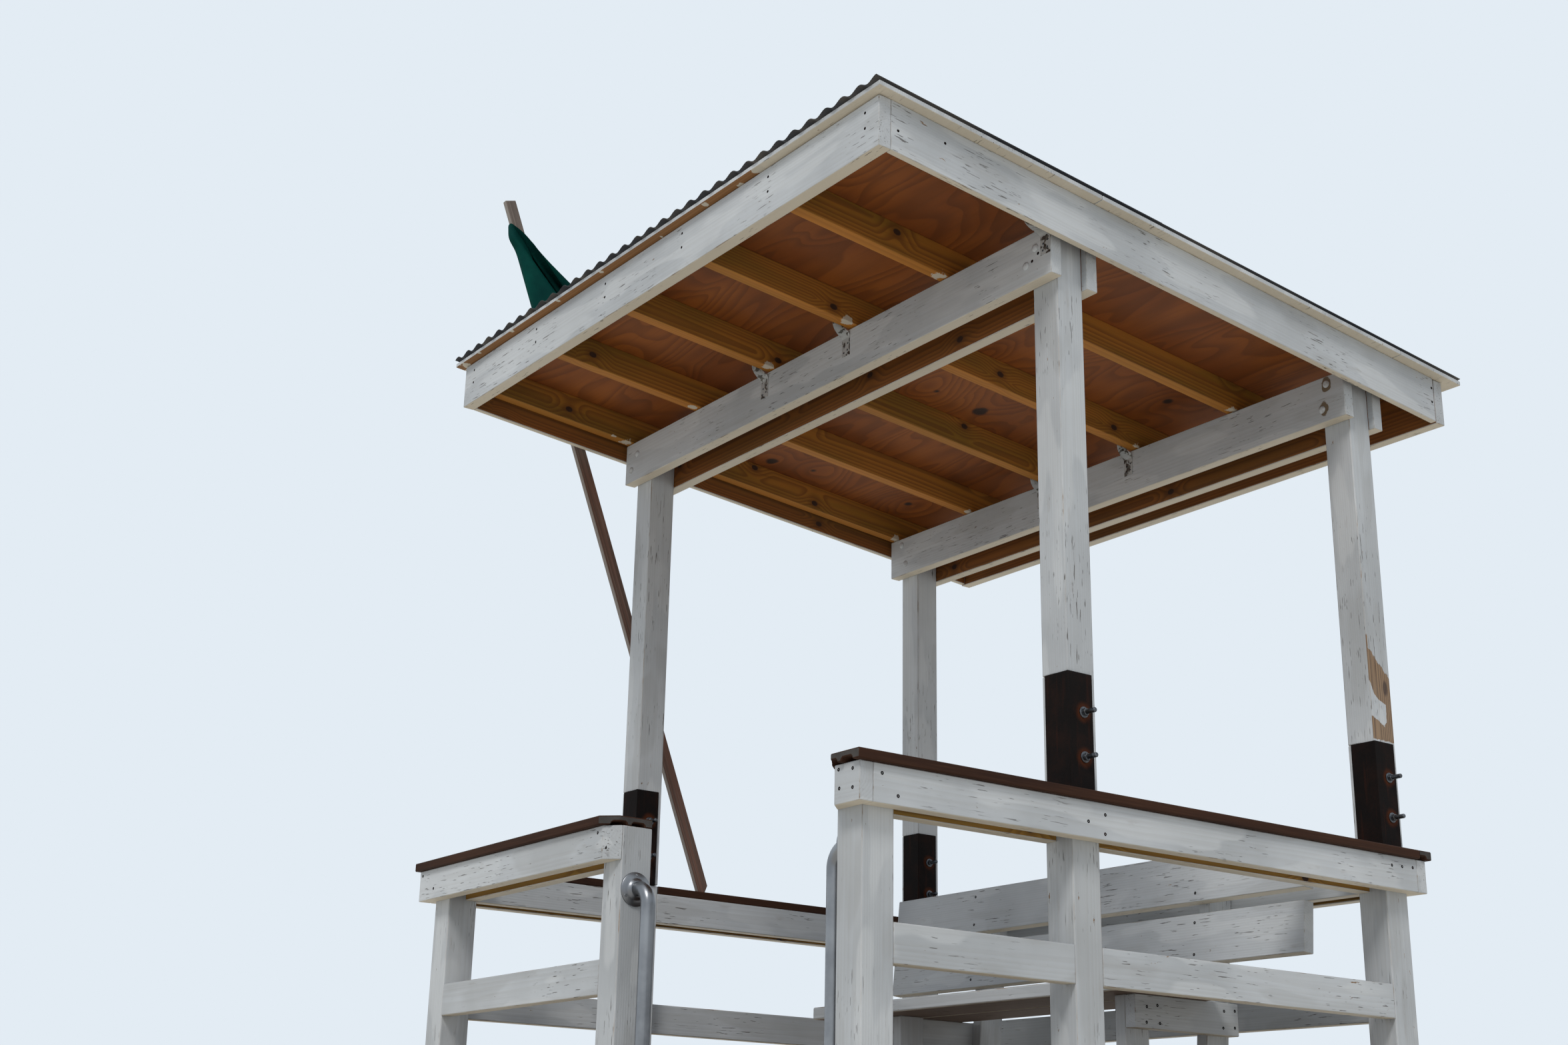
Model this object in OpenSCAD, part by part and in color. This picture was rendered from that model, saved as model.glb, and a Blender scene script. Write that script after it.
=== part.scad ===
// Lifeguard tower: seven posts carry a railed platform, four of them go on up to a single-slope roof.
// The front, with the ladder opening, faces -Y. The origin is the middle of the front right post's foot.

/* [Platform] */
// Width over the corner posts, left to right
plan_w = 2032; // [1700:1:2600]
// Depth over the corner posts, front to back
plan_d = 1874; // [1500:1:2400]
// Front face of the front posts to the front face of the middle posts
mid_row = 629; // [450:1:900]
// Clear width of the ladder opening, beside the front right post
opening_w = 901; // [700:1:1000]
// Top of the deck boards above the ground
deck_h = 1650; // [1300:1:1900]
// Top of the seat cap above the deck
guard_h = 812; // [760:1:950]

/* [Lumber] */
// Side of a square post
post_w = 89; // [80:1:110]
// Thickness of every framing board
board_t = 38; // [30:1:45]
// Width of a rail, rafter or bench board set on edge
rail_h = 89; // [70:1:110]
// Width of a beam, fascia or rake board
beam_h = 140; // [120:1:200]
// Width of a rim board or joist
rim_h = 184; // [140:1:240]

/* [Railing] */
// Width of the composite cap board
cap_w = 140; // [130:1:160]
// Thickness of the composite cap and deck boards
cap_t = 24; // [20:1:30]
// Clear height between the rail and the foot rail below it
foot_gap = 244; // [150:1:350]
// Corner cut off a cap end beside the ladder opening
cap_clip = 40; // [15:1:60]
// Gap left round a post where a cap or deck board is notched
notch_gap = 2; // [1:0.5:4]

/* [Deck] */
// Gap between two deck boards
deck_gap = 6; // [3:1:10]
// How far the deck boards reach past the rim boards
deck_nose = 12; // [5:1:25]
// Distance between joist centres
joist_step = 406; // [300:1:600]

/* [Post splices] */
// Length of the half-lap splice above the cap
lap_len = 296; // [250:1:450]
// Leg of the steel angle on a splice
angle_leg = 76; // [60:1:85]
// Wall of the steel angle
angle_t = 5; // [3:0.5:8]
// Bore of a splice bolt hole
bolt_d = 13; // [10:1:16]
// Height of the lower splice bolt above the cap
bolt_low = 88; // [60:1:120]
// Height of the upper splice bolt above the cap
bolt_high = 198; // [170:1:300]
// How far a splice bolt stands out past its nut
bolt_out = 26; // [10:1:40]
// Diameter of a washer
washer_d = 32; // [26:1:38]

/* [Ladder] */
// Overall width of the ladder
ladder_w = 780; // [600:1:860]
// Slope of the ladder, from level
ladder_angle = 70; // [65:1:78]
// Number of treads
tread_n = 6; // [5:1:7]
// Width of a ladder stringer or tread
ladder_board = 140; // [120:1:160]
// Length of the stringer that bears on the front rim
ladder_seat = 164; // [100:1:180]

/* [Grab bars] */
// Outside diameter of the tube
bar_d = 38; // [30:1:45]
// Wall of the tube
bar_wall = 2; // [1.5:0.5:3]
// Distance between the centres of the two flanges
bar_len = 508; // [400:1:560]
// Post face to the middle of the tube
bar_off = 64; // [55:1:90]
// Radius of the bend, on the middle of the tube
bar_bend = 45; // [40:1:55]
// Diameter of a flange
flange_d = 88; // [70:1:89]
// Thickness of a flange
flange_t = 4; // [3:0.5:8]
// Middle of the upper flange below the underside of the rail
bar_drop = 72; // [60:1:120]

/* [Bench] */
// Length of the bench seat
seat_len = 1578; // [1200:1:1800]
// Length of the bench back
back_len = 1732; // [1200:1:1800]
// Width of a seat plank
seat_plank = 184; // [140:1:200]
// Gap between the two seat planks
seat_gap = 8; // [4:1:15]
// Top of the seat above the deck
seat_h = 467; // [400:1:520]
// Seat back tilt, from upright
back_tilt = 5.5; // [0:0.5:12]
// Front face of the back at seat height to the rear face of the posts
back_inset = 262; // [250:1:320]
// Gap between the seat and the front face of the back
back_clear = 4; // [2:1:15]
// Top of the seat to the bottom of the lower back board
back_lift = 70; // [20:1:120]
// Gap between the two back boards
back_gap = 35; // [10:1:60]
// Distance between the inner faces of the two bench frames
frame_gap = 910; // [700:1:1100]
// Front of a bench frame behind the front of the seat
frame_in = 88; // [30:1:120]
// Length of a bench frame's cross piece
cross_len = 407; // [380:1:460]

/* [Roof] */
// Underside of the middle beam above the top of the cap
beam_clear = 1343; // [1200:1:1500]
// Fall of the roof for each millimetre of depth
roof_fall = 0.085; // [0.04:0.005:0.16]
// Number of rafters
rafter_n = 6; // [4:1:8]
// Front fascia's outer face in front of the posts
roof_front = 10; // [0:1:120]
// Back fascia's outer face behind the posts
roof_back = 288; // [150:1:400]
// Gap between the top of a roof post and the line of the rafters
post_clear = 8; // [3:1:20]
// How far the beams reach past the posts at each end
beam_out = 19; // [10:1:19]
// Thickness of a rake board
rake_t = 19; // [15:1:38]
// Thickness of the plywood roof deck
ply_t = 13; // [9:1:20]
// How far the plywood reaches past the rake boards
ply_side = 30; // [10:1:60]
// How far the plywood reaches past the front fascia
ply_front = 22; // [10:1:60]
// How far the plywood reaches past the back fascia
ply_back = 54; // [10:1:100]

/* [Roof sheet] */
// Distance from crest to crest
wave = 68.1; // [60:0.1:80]
// How far the sheet stops short of the plywood's edge at the sides
sheet_side = 5; // [0:1:15]
// Height of a wave, without the sheet
wave_h = 13; // [8:1:20]
// Thickness of the sheet, thicker than the real one
sheet_t = 2; // [1:0.5:3]
// How far the sheet reaches past the plywood at the front and the back
sheet_end = 8; // [5:1:50]

/* [Hardware] */
// Thickness of a galvanised rafter tie
tie_t = 2; // [1:0.5:3]
// Width of the tie's strap
tie_w = 38; // [30:1:45]
// Length of the tie's upper leg, on the side of the rafter
tie_up = 70; // [40:1:75]
// Length of the tie's lower leg, on the front of the beam
tie_leg = 55; // [40:1:70]
// Height of the turn between the two legs
tie_turn = 30; // [20:1:40]
// Upper leg's rear edge in front of the beam
tie_fore = 18; // [5:1:30]
// Lower leg's left edge to the left of the rafter
tie_off = 28; // [0:1:30]

/* [Flag board] */
// Length of the upright board that the flag is tied to
mast_len = 2467; // [1800:1:3000]
// Thickness of the board, left to right
mast_t = 18; // [12:1:30]
// Width of the board, front to back
mast_w = 42; // [30:1:60]
// Foot of the board behind the front of the posts
mast_foot = 960; // [850:1:1100]
// Lean of the board towards the front, from upright
mast_lean = 19.2; // [10:0.2:21]
// How far up its back edge the corner of the board's foot is cut off
foot_cut_up = 38; // [0:1:80]
// How far in from its back edge the corner of the foot is cut off
foot_cut_in = 30; // [0:1:35]
// Gap between the board and the edge of the plywood
mast_clear = 8; // [4:1:20]
// Thickness of the limp flag
flag_t = 30; // [15:1:60]
// Length of the flag's edge along its board
flag_hoist = 457; // [300:1:600]
// Length of the flag's upper edge
flag_fly = 320; // [200:1:400]
// Droop of the upper edge, from level
flag_droop = 32; // [20:1:45]
// Length of the flag's loose hanging edge
flag_hang = 430; // [300:1:500]
// Top of the flag below the top of its board
flag_drop = 84; // [20:1:200]

/* [Braces] */
// Foot of a leg brace above the ground
brace_low = 250; // [150:1:500]

/* [Hidden] */
$fn = 48;
bolt_play = 1;
washer_t = 3;
nut_t = 9;
soft_gap = 0.3;

white = [0.80, 0.81, 0.80];
pine = [0.66, 0.50, 0.32];
composite = [0.34, 0.27, 0.24];
steel = [0.62, 0.64, 0.66];
dark_steel = [0.15, 0.11, 0.10];
charcoal = [0.20, 0.20, 0.22];
cloth = [0.05, 0.25, 0.22];

half_w = plan_w / 2;
half_d = plan_d / 2;
mid_y = mid_row - half_d;
back_y = half_d - post_w;
in_x = half_w - post_w;
opening_x = in_x - opening_w - post_w;
cap_over = cap_w - post_w;

cap_top = deck_h + guard_h;
rail_top = cap_top - cap_t;
rail_z = rail_top - rail_h;
foot_z = rail_z - foot_gap - rail_h;
deck_under = deck_h - cap_t;
rim_z = deck_under - rim_h;
lap_top = cap_top + lap_len;

// Left edges and front edges of the posts: [x, y]
front_posts = [[in_x, -half_d], [opening_x, -half_d], [-half_w, -half_d]];
tall_posts = [[in_x, mid_y], [-half_w, mid_y], [in_x, back_y], [-half_w, back_y]];

// Roof heights follow the underside of the rafters, which falls towards the back
beam_top = cap_top + beam_clear + beam_h;
function rafter_under(y) = beam_top - roof_fall * (y - mid_y);
rafter_rise = rail_h * sqrt(1 + roof_fall * roof_fall);
ply_rise = ply_t * sqrt(1 + roof_fall * roof_fall);
function ply_under(y) = rafter_under(y) + rafter_rise;
function ply_over(y) = ply_under(y) + ply_rise;
front_y = -half_d - roof_front;
rear_y = half_d + roof_back;
rafter_y0 = front_y + board_t;
rafter_y1 = rear_y - board_t;
rake_x = half_w + board_t / 2;
roof_half = rake_x + board_t;
rafter_step = plan_w / (rafter_n - 1);
function rafter_x(i) = -half_w + i * rafter_step;

// Draws a piece in its finish. Pieces are laid out round the middle of the platform, on the ground,
// and then moved so that the front right post stands on the origin.
module piece(finish) {
    color(finish) translate([post_w / 2 - half_w, half_d - post_w / 2, 0]) children();
}

// A plain board, given by its low corner and its size
module board(at, size) {
    translate(at) cube(size);
}

// A profile drawn in depth and height, made along X from one side to the other
module along_x(x0, x1) {
    translate([x0, 0, 0]) rotate([90, 0, 90]) linear_extrude(x1 - x0) children();
}

module post_stub(at) {
    piece(white) board([at[0], at[1], 0], [post_w, post_w, rail_top]);
}

// A post that goes on through the cap and ends in the inner half of the splice
module spliced_post(at) {
    piece(white) difference() {
        union() {
            board([at[0], at[1], 0], [post_w, post_w, cap_top]);
            board([at[0], at[1], 0], [post_w / 2, post_w, lap_top]);
        }
        splice_holes(at);
    }
}

// The two bolt holes that go across a splice
module splice_holes(at) {
    for (h = [bolt_low, bolt_high])
        translate([at[0] - 1, at[1] + post_w / 2, cap_top + h])
            rotate([0, 90, 0]) cylinder(d = bolt_d, h = post_w + angle_t + 2);
}

// A roof post: its outer half reaches down beside the splice, and its top ends under the rafters
module roof_post(at) {
    top = rafter_under(at[1] + post_w) - post_clear;
    foot = cap_top + notch_gap;
    piece(white) difference() {
        union() {
            board([at[0], at[1], lap_top], [post_w, post_w, top - lap_top]);
            board([at[0] + post_w / 2, at[1], foot], [post_w / 2, post_w, top - foot]);
        }
        splice_holes(at);
    }
}

// One steel angle wraps the front right corner of each splice, with its foot on the cap
module splice_angle(at) {
    corner = [at[0] + post_w, at[1], cap_top];
    difference() {
        union() {
            board(corner - [angle_leg, angle_t, 0], [angle_leg + angle_t, angle_t, lap_len]);
            board(corner - [0, angle_t, 0], [angle_t, angle_leg + angle_t, lap_len]);
        }
        splice_holes(at);
    }
}

module splice_angles() {
    piece(dark_steel) for (p = tall_posts) splice_angle(p);
}

// A bolt through a splice, with a washer and a head or nut at each end
module splice_bolt() {
    face = post_w + angle_t;
    rod_d = bolt_d - bolt_play;
    translate([-washer_t, 0, 0]) rotate([0, 90, 0]) cylinder(d = rod_d, h = washer_t + face + bolt_out);
    for (x = [-washer_t, face])
        translate([x, 0, 0]) rotate([0, 90, 0]) cylinder(d = washer_d, h = washer_t);
    for (x = [-washer_t - nut_t, face + washer_t])
        translate([x, 0, 0]) rotate([0, 90, 0]) cylinder(d = 1.7 * rod_d, h = nut_t);
}

module splice_bolts() {
    piece(steel) for (p = tall_posts, h = [bolt_low, bolt_high])
        translate([p[0], p[1] + post_w / 2, cap_top + h]) splice_bolt();
}

module side_rims() {
    piece(white) for (x = [-half_w - board_t, half_w])
        board([x, -half_d, rim_z], [board_t, plan_d, rim_h]);
}

module end_rims() {
    piece(white) for (y = [-half_d - board_t, half_d])
        board([-half_w - board_t, y, rim_z], [plan_w + 2 * board_t, board_t, rim_h]);
}

// Joists stand against the corner posts and at even steps between
module joists() {
    edge = in_x - board_t / 2;
    inner = [for (i = [-1.5, -0.5, 0.5, 1.5]) i * joist_step];
    piece(pine) for (x = concat([-edge], inner, [edge]))
        board([x - board_t / 2, -half_d, rim_z], [board_t, plan_d, rim_h]);
}

module deck_boards() {
    y0 = -half_d - board_t - deck_nose;
    y1 = -y0;
    x1 = half_w + board_t + deck_nose;
    step = cap_w + deck_gap;
    rows = ceil((y1 - y0) / step);
    piece(composite) difference() {
        for (i = [0 : rows - 1])
            board([-x1, y0 + i * step, deck_under], [2 * x1, min(cap_w, y1 - y0 - i * step), cap_t]);
        for (p = concat(front_posts, tall_posts)) post_notch(p, deck_under);
    }
}

// The room that a board leaves round a post
module post_notch(at, z) {
    board([at[0] - notch_gap, at[1] - notch_gap, z - 1],
          [post_w + 2 * notch_gap, post_w + 2 * notch_gap, cap_t + 2]);
}

// One diagonal board braces the posts on the left, the right and the back
module brace(run) {
    rise = rim_z - brace_low;
    angle = atan2(rise - rail_h, run);
    intersection() {
        rotate([90, 0, 0]) rotate([0, 0, angle]) translate([-run, 0, 0])
            linear_extrude(board_t) square([3 * run, rail_h * cos(angle)]);
        board([0, -board_t, 0], [run, board_t, rise]);
    }
}

module leg_braces() {
    piece(white) {
        for (x = [half_w, -half_w - board_t])
            translate([x, mid_y, brace_low]) rotate([0, 0, 90]) brace(half_d - mid_y);
        translate([-half_w, half_d + board_t, brace_low]) brace(plan_w);
    }
}

// Rails: one board outside the posts, and one between them flush with their inner faces
module side_rail(side) {
    outer = side > 0 ? half_w : -half_w - board_t;
    inner = side > 0 ? in_x : -in_x - board_t;
    bays = [[-half_d + post_w, mid_y], [mid_y + post_w, back_y]];
    board([outer, -half_d, rail_z], [board_t, plan_d, rail_h]);
    for (b = bays) board([inner, b[0], rail_z], [board_t, b[1] - b[0], rail_h]);
}

module right_rail() {
    piece(white) side_rail(1);
}

module left_rail() {
    piece(white) side_rail(-1);
}

module back_rail() {
    piece(white) {
        board([-half_w - board_t, half_d, rail_z], [plan_w + 2 * board_t, board_t, rail_h]);
        board([-in_x, back_y, rail_z], [2 * in_x, board_t, rail_h]);
    }
}

// The front rail is mitred on both sides of the opening, where a short board caps the right post
module front_rail() {
    end_x = opening_x + post_w;
    piece(white) {
        translate([0, 0, rail_z]) linear_extrude(rail_h) polygon([
            [-half_w - board_t, -half_d - board_t], [end_x - board_t, -half_d - board_t],
            [end_x, -half_d], [-half_w - board_t, -half_d]]);
        translate([0, 0, rail_z]) linear_extrude(rail_h) polygon([
            [in_x + board_t, -half_d - board_t], [half_w + board_t, -half_d - board_t],
            [half_w + board_t, -half_d], [in_x, -half_d]]);
        board([-in_x, -half_d + post_w - board_t, rail_z], [in_x + opening_x, board_t, rail_h]);
    }
}

module notched_cap() {
    piece(composite) difference() {
        translate([0, 0, rail_top]) linear_extrude(cap_t) children();
        for (p = tall_posts) post_notch(p, rail_top);
    }
}

// The right cap has its inner front corner cut off beside the opening
module right_cap() {
    x1 = half_w + cap_over;
    y0 = -half_d - cap_over;
    notched_cap() polygon([
        [in_x + cap_clip, y0], [x1, y0], [x1, half_d + notch_gap],
        [in_x, half_d + notch_gap], [in_x, y0 + cap_clip]]);
}

module left_cap() {
    x0 = -half_w - cap_over;
    notched_cap() translate([x0, -half_d + post_w])
        square([cap_w, plan_d - post_w + notch_gap]);
}

// The back cap meets the ends of the side caps behind the back posts
module back_cap() {
    x1 = half_w + cap_over;
    notched_cap() difference() {
        translate([-x1, back_y]) square([2 * x1, cap_w]);
        for (x = [-x1, in_x]) translate([x, back_y - 1])
            square([cap_w, post_w + notch_gap + 1]);
    }
}

module front_cap() {
    x0 = -half_w - cap_over;
    x1 = opening_x + post_w;
    y0 = -half_d - cap_over;
    notched_cap() polygon([
        [x0, y0], [x1 - cap_clip, y0], [x1, y0 + cap_clip], [x1, y0 + cap_w], [x0, y0 + cap_w]]);
}

module foot_rails() {
    bays = [[-half_d + post_w, mid_y], [mid_y + post_w, back_y]];
    piece(white) {
        for (x = [-half_w, half_w - board_t], b = bays)
            board([x, b[0], foot_z], [board_t, b[1] - b[0], rail_h]);
        board([-in_x, half_d - board_t, foot_z], [2 * in_x, board_t, rail_h]);
        board([-in_x, -half_d, foot_z], [in_x + opening_x, board_t, rail_h]);
    }
}

// A grab bar stands off a post face at x = 0 and reaches out along +X
module grab_bar() {
    straight = bar_off - bar_bend;
    difference() {
        union() {
            for (z = [0, -bar_len]) translate([0, 0, z]) rotate([0, 90, 0]) {
                cylinder(d = flange_d, h = flange_t);
                cylinder(d = bar_d, h = straight);
            }
            bar_bends(bar_d);
            translate([bar_off, 0, bar_bend - bar_len]) cylinder(d = bar_d, h = bar_len - 2 * bar_bend);
        }
        bar_bends(bar_d - 2 * bar_wall);
        translate([bar_off, 0, bar_bend - bar_len])
            cylinder(d = bar_d - 2 * bar_wall, h = bar_len - 2 * bar_bend);
        for (z = [0, -bar_len]) translate([-1, 0, z]) rotate([0, 90, 0])
            cylinder(d = bar_d - 2 * bar_wall, h = straight + 1);
    }
}

// The two quarter bends, as solid rods of one diameter
module bar_bends(d) {
    for (end = [0, 1])
        translate([bar_off - bar_bend, 0, end == 0 ? -bar_bend : bar_bend - bar_len])
            mirror([0, 0, end]) rotate([90, 0, 0])
                rotate_extrude(angle = 90) translate([bar_bend, 0]) circle(d = d);
}

bar_z = rail_z - bar_drop;
bar_y = -half_d + post_w / 2;

module left_grab_bar() {
    piece(steel) translate([opening_x + post_w, bar_y, bar_z]) grab_bar();
}

module right_grab_bar() {
    piece(steel) translate([in_x, bar_y, bar_z]) mirror([1, 0, 0]) grab_bar();
}

seat_top = deck_h + seat_h;
back_face = half_d - back_inset;
seat_y = back_face - back_clear - 2 * seat_plank - seat_gap;
seat_under = seat_top - board_t;
frame_x = frame_gap / 2;

module bench_seat() {
    piece(white) for (i = [0, 1])
        board([-seat_len / 2, seat_y + i * (seat_plank + seat_gap), seat_under],
              [seat_len, seat_plank, board_t]);
}

// The seat back's own frame: y = 0 at the front face of the boards, z = 0 at the top of the seat
module tilted_back() {
    translate([0, back_face, seat_top]) rotate([-back_tilt, 0, 0]) children();
}

module bench_back() {
    piece(white) tilted_back() for (i = [0, 1])
        board([-back_len / 2, 0, back_lift + i * (beam_h + back_gap)], [back_len, board_t, beam_h]);
}

// Front legs stand upright, and the back legs tilt and go on up behind the back boards
module bench_legs() {
    top = back_lift + beam_h + back_gap + beam_h - board_t;
    piece(white) for (x = [-frame_x - board_t, frame_x]) {
        board([x, seat_y + frame_in, deck_h], [board_t, rail_h, seat_under - deck_h]);
        intersection() {
            tilted_back() board([x, board_t, -2 * seat_h], [board_t, rail_h, 2 * seat_h + top]);
            board([x, -half_d, deck_h], [board_t, plan_d, 2 * seat_h]);
        }
    }
}

module bench_cross_pieces() {
    piece(white) for (x = [-frame_x - 2 * board_t, frame_x + board_t])
        board([x, seat_y + frame_in, seat_under - rail_h], [board_t, cross_len, rail_h]);
}

// A beam: two boards that clasp the roof posts, with their tops under the rafters
module beam(row_y) {
    reach = half_w + beam_out;
    piece(white) for (y = [row_y - board_t, row_y + post_w])
        board([-reach, y, rafter_under(y + board_t) - beam_h], [2 * reach, board_t, beam_h]);
}

module mid_beam() {
    beam(mid_y);
}

module back_beam() {
    beam(back_y);
}

// A sloping board's side view between two depths, hung down from the roof deck by its own width
module sloping_side(y0, y1, width) {
    polygon([[y0, ply_under(y0) - width], [y1, ply_under(y1) - width],
             [y1, ply_under(y1)], [y0, ply_under(y0)]]);
}

module rafters() {
    piece(pine) for (i = [0 : rafter_n - 1])
        along_x(rafter_x(i) - board_t / 2, rafter_x(i) + board_t / 2)
            sloping_side(rafter_y0, rafter_y1, rafter_rise);
}

module rake_boards() {
    piece(white) for (x = [-roof_half, roof_half - rake_t])
        along_x(x, x + rake_t) sloping_side(rafter_y0, rafter_y1, beam_h);
}

module fascia_boards() {
    piece(white) for (y = [front_y, rafter_y1])
        board([-roof_half, y, ply_under(y + board_t) - beam_h], [2 * roof_half, board_t, beam_h]);
}

ply_half = roof_half + ply_side;
ply_y0 = front_y - ply_front;
ply_y1 = rear_y + ply_back;

module roof_deck() {
    piece(pine) along_x(-ply_half, ply_half) polygon([
        [ply_y0, ply_under(ply_y0)], [ply_y1, ply_under(ply_y1)],
        [ply_y1, ply_over(ply_y1)], [ply_y0, ply_over(ply_y0)]]);
}

// From a crest on the right edge, each wave is half a crest, a fall, a valley, a rise and half a crest
sheet_half = ply_half - sheet_side;
wave_n = ceil(2 * sheet_half / wave);
sheet_wave = [[0.125, 1], [0.375, 0], [0.625, 0], [0.875, 1]];
sheet_line = concat([[sheet_half, wave_h]], [for (i = [0 : wave_n - 1], p = sheet_wave)
    [sheet_half - (i + p[0]) * wave, p[1] * wave_h]]);
sheet_back = [for (i = [len(sheet_line) - 1 : -1 : 0]) sheet_line[i] + [0, sheet_t]];

// The corrugations run down the slope
module roof_sheet() {
    slope = atan(roof_fall);
    y0 = ply_y0 - sheet_end;
    len_y = (ply_y1 + sheet_end - y0) / cos(slope);
    piece(charcoal) translate([0, y0, ply_over(y0)]) rotate([-slope, 0, 0])
        translate([0, len_y, 0]) rotate([90, 0, 0]) linear_extrude(len_y) intersection() {
            polygon(concat(sheet_line, sheet_back));
            translate([-sheet_half, 0]) square([2 * sheet_half, wave_h + sheet_t]);
        }
}

// A strap tie runs down the rafter's left side, turns back to the beam and ends on the beam's front face
module rafter_tie(x, row_y, off) {
    face = row_y - board_t;
    left = x - board_t / 2;
    front = face - tie_fore - tie_w;
    turn_top = rafter_under(face - tie_fore);
    leg_top = turn_top - tie_turn;
    board([left - tie_t, front, leg_top], [tie_t, tie_w, tie_turn + tie_up]);
    board([left - tie_t, front, leg_top], [tie_t, face - front, tie_turn]);
    board([left - off, face - tie_t, leg_top - tie_leg], [tie_w, tie_t, tie_leg + tie_turn]);
}

// Two inner rafters are tied to both beams. The right one is tied to the middle beam only, and the leg of
// its tie sits under it.
module rafter_ties() {
    piece(steel) {
        for (row = [mid_y, back_y], i = [2, 3]) rafter_tie(rafter_x(i), row, tie_off);
        rafter_tie(rafter_x(rafter_n - 1), mid_y, 0);
    }
}

rise_step = deck_h / (tread_n + 1);
seat_low = deck_under - ladder_seat;
stringer_run = ladder_board / sin(ladder_angle);
ladder_x = in_x - opening_w / 2;
rim_face = -half_d - board_t;
function stringer_back(z) = rim_face - (seat_low - z) / tan(ladder_angle);

// The stringers stand on the ground and lean on the front rim, under the deck boards
module ladder_stringers() {
    piece(white) for (x = [ladder_x - ladder_w / 2, ladder_x + ladder_w / 2 - board_t])
        along_x(x, x + board_t) polygon([
            [stringer_back(0) - stringer_run, 0], [stringer_back(0), 0],
            [rim_face, seat_low], [rim_face, deck_under],
            [stringer_back(deck_under) - stringer_run, deck_under]]);
}

module ladder_treads() {
    inside = ladder_w - 2 * board_t;
    piece(white) for (i = [1 : tread_n]) {
        z = i * rise_step - board_t;
        mid = stringer_back(z + board_t / 2) - stringer_run / 2;
        board([ladder_x - inside / 2, mid - ladder_board / 2, z], [inside, ladder_board, board_t]);
    }
}

// The flag board stands on the left cap, leans to the front and leans out to pass the roof's edge
mast_x = half_w + notch_gap;
mast_rise = rafter_under(mast_foot - half_d) + rafter_rise - cap_top;
mast_out = atan2(ply_half + mast_clear - mast_x, mast_rise);

foot_back = mast_foot - half_d + mast_w / 2 / cos(mast_lean);

module mast_frame() {
    translate([-mast_x, mast_foot - half_d, cap_top])
        rotate([0, -mast_out, 0]) rotate([mast_lean, 0, 0]) children();
}

// The foot stands flat on the cap, and its back corner is cut off
module flag_board() {
    piece(pine) difference() {
        intersection() {
            mast_frame() board([-mast_t, -mast_w / 2, -mast_len / 2], [mast_t, mast_w, 1.5 * mast_len]);
            board([-plan_w, -plan_d, cap_top], [plan_w, 2 * plan_d, 2 * mast_len]);
        }
        along_x(-plan_w, 0) polygon([
            [foot_back - foot_cut_in, cap_top], [foot_back + mast_w, cap_top],
            [foot_back + mast_w, cap_top + foot_cut_up],
            [foot_back - foot_cut_up * tan(mast_lean), cap_top + foot_cut_up]]);
    }
}

// Turns a run to the back and a rise into the leaning frame of the flag board
function leaning(run, rise) = [
    run * cos(mast_lean) + rise * sin(mast_lean), rise * cos(mast_lean) - run * sin(mast_lean)];

// The limp flag is tied to the front of the flag board, covers its inner side and droops to the back
flag_far = leaning(flag_fly * cos(flag_droop), -flag_fly * sin(flag_droop));

module flag() {
    piece(cloth) mast_frame() translate([soft_gap, -mast_w / 2, mast_len - flag_drop])
        along_x(0, flag_t) polygon([
            [0, 0], [0, -flag_hoist], flag_far + leaning(0, -flag_hang), flag_far]);
}

post_stub(front_posts[0]);  // front_right_post
post_stub(front_posts[1]);  // opening_post
post_stub(front_posts[2]);  // front_left_post
spliced_post(tall_posts[0]);  // mid_right_post
spliced_post(tall_posts[1]);  // mid_left_post
spliced_post(tall_posts[2]);  // back_right_post
spliced_post(tall_posts[3]);  // back_left_post
roof_post(tall_posts[0]);  // roof_post_mid_right
roof_post(tall_posts[1]);  // roof_post_mid_left
roof_post(tall_posts[2]);  // roof_post_back_right
roof_post(tall_posts[3]);  // roof_post_back_left
splice_angles();
splice_bolts();
side_rims();
end_rims();
joists();
deck_boards();
leg_braces();
right_rail();
left_rail();
back_rail();
front_rail();
right_cap();
left_cap();
back_cap();
front_cap();
foot_rails();
left_grab_bar();
right_grab_bar();
bench_seat();
bench_back();
bench_legs();
bench_cross_pieces();
mid_beam();
back_beam();
rafters();
fascia_boards();
rake_boards();
roof_deck();
roof_sheet();
rafter_ties();
ladder_stringers();
ladder_treads();
flag_board();
flag();
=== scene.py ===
# %% [markdown]
# # A lifeguard tower and its finishes
# The tower is carpentry: seven square posts carry a railed platform, and four of them go on up to
# a roof that slopes to the back. The construction comes packed from its own source, as one node
# for each sub-part. This script never moves those nodes. It makes dressed copies of the boards,
# the fasteners, the corrugated roofing, the tubes and the flag, and gives each its finish.

import math
import random

import bmesh
import bpy
from mathutils import Matrix, Vector


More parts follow.
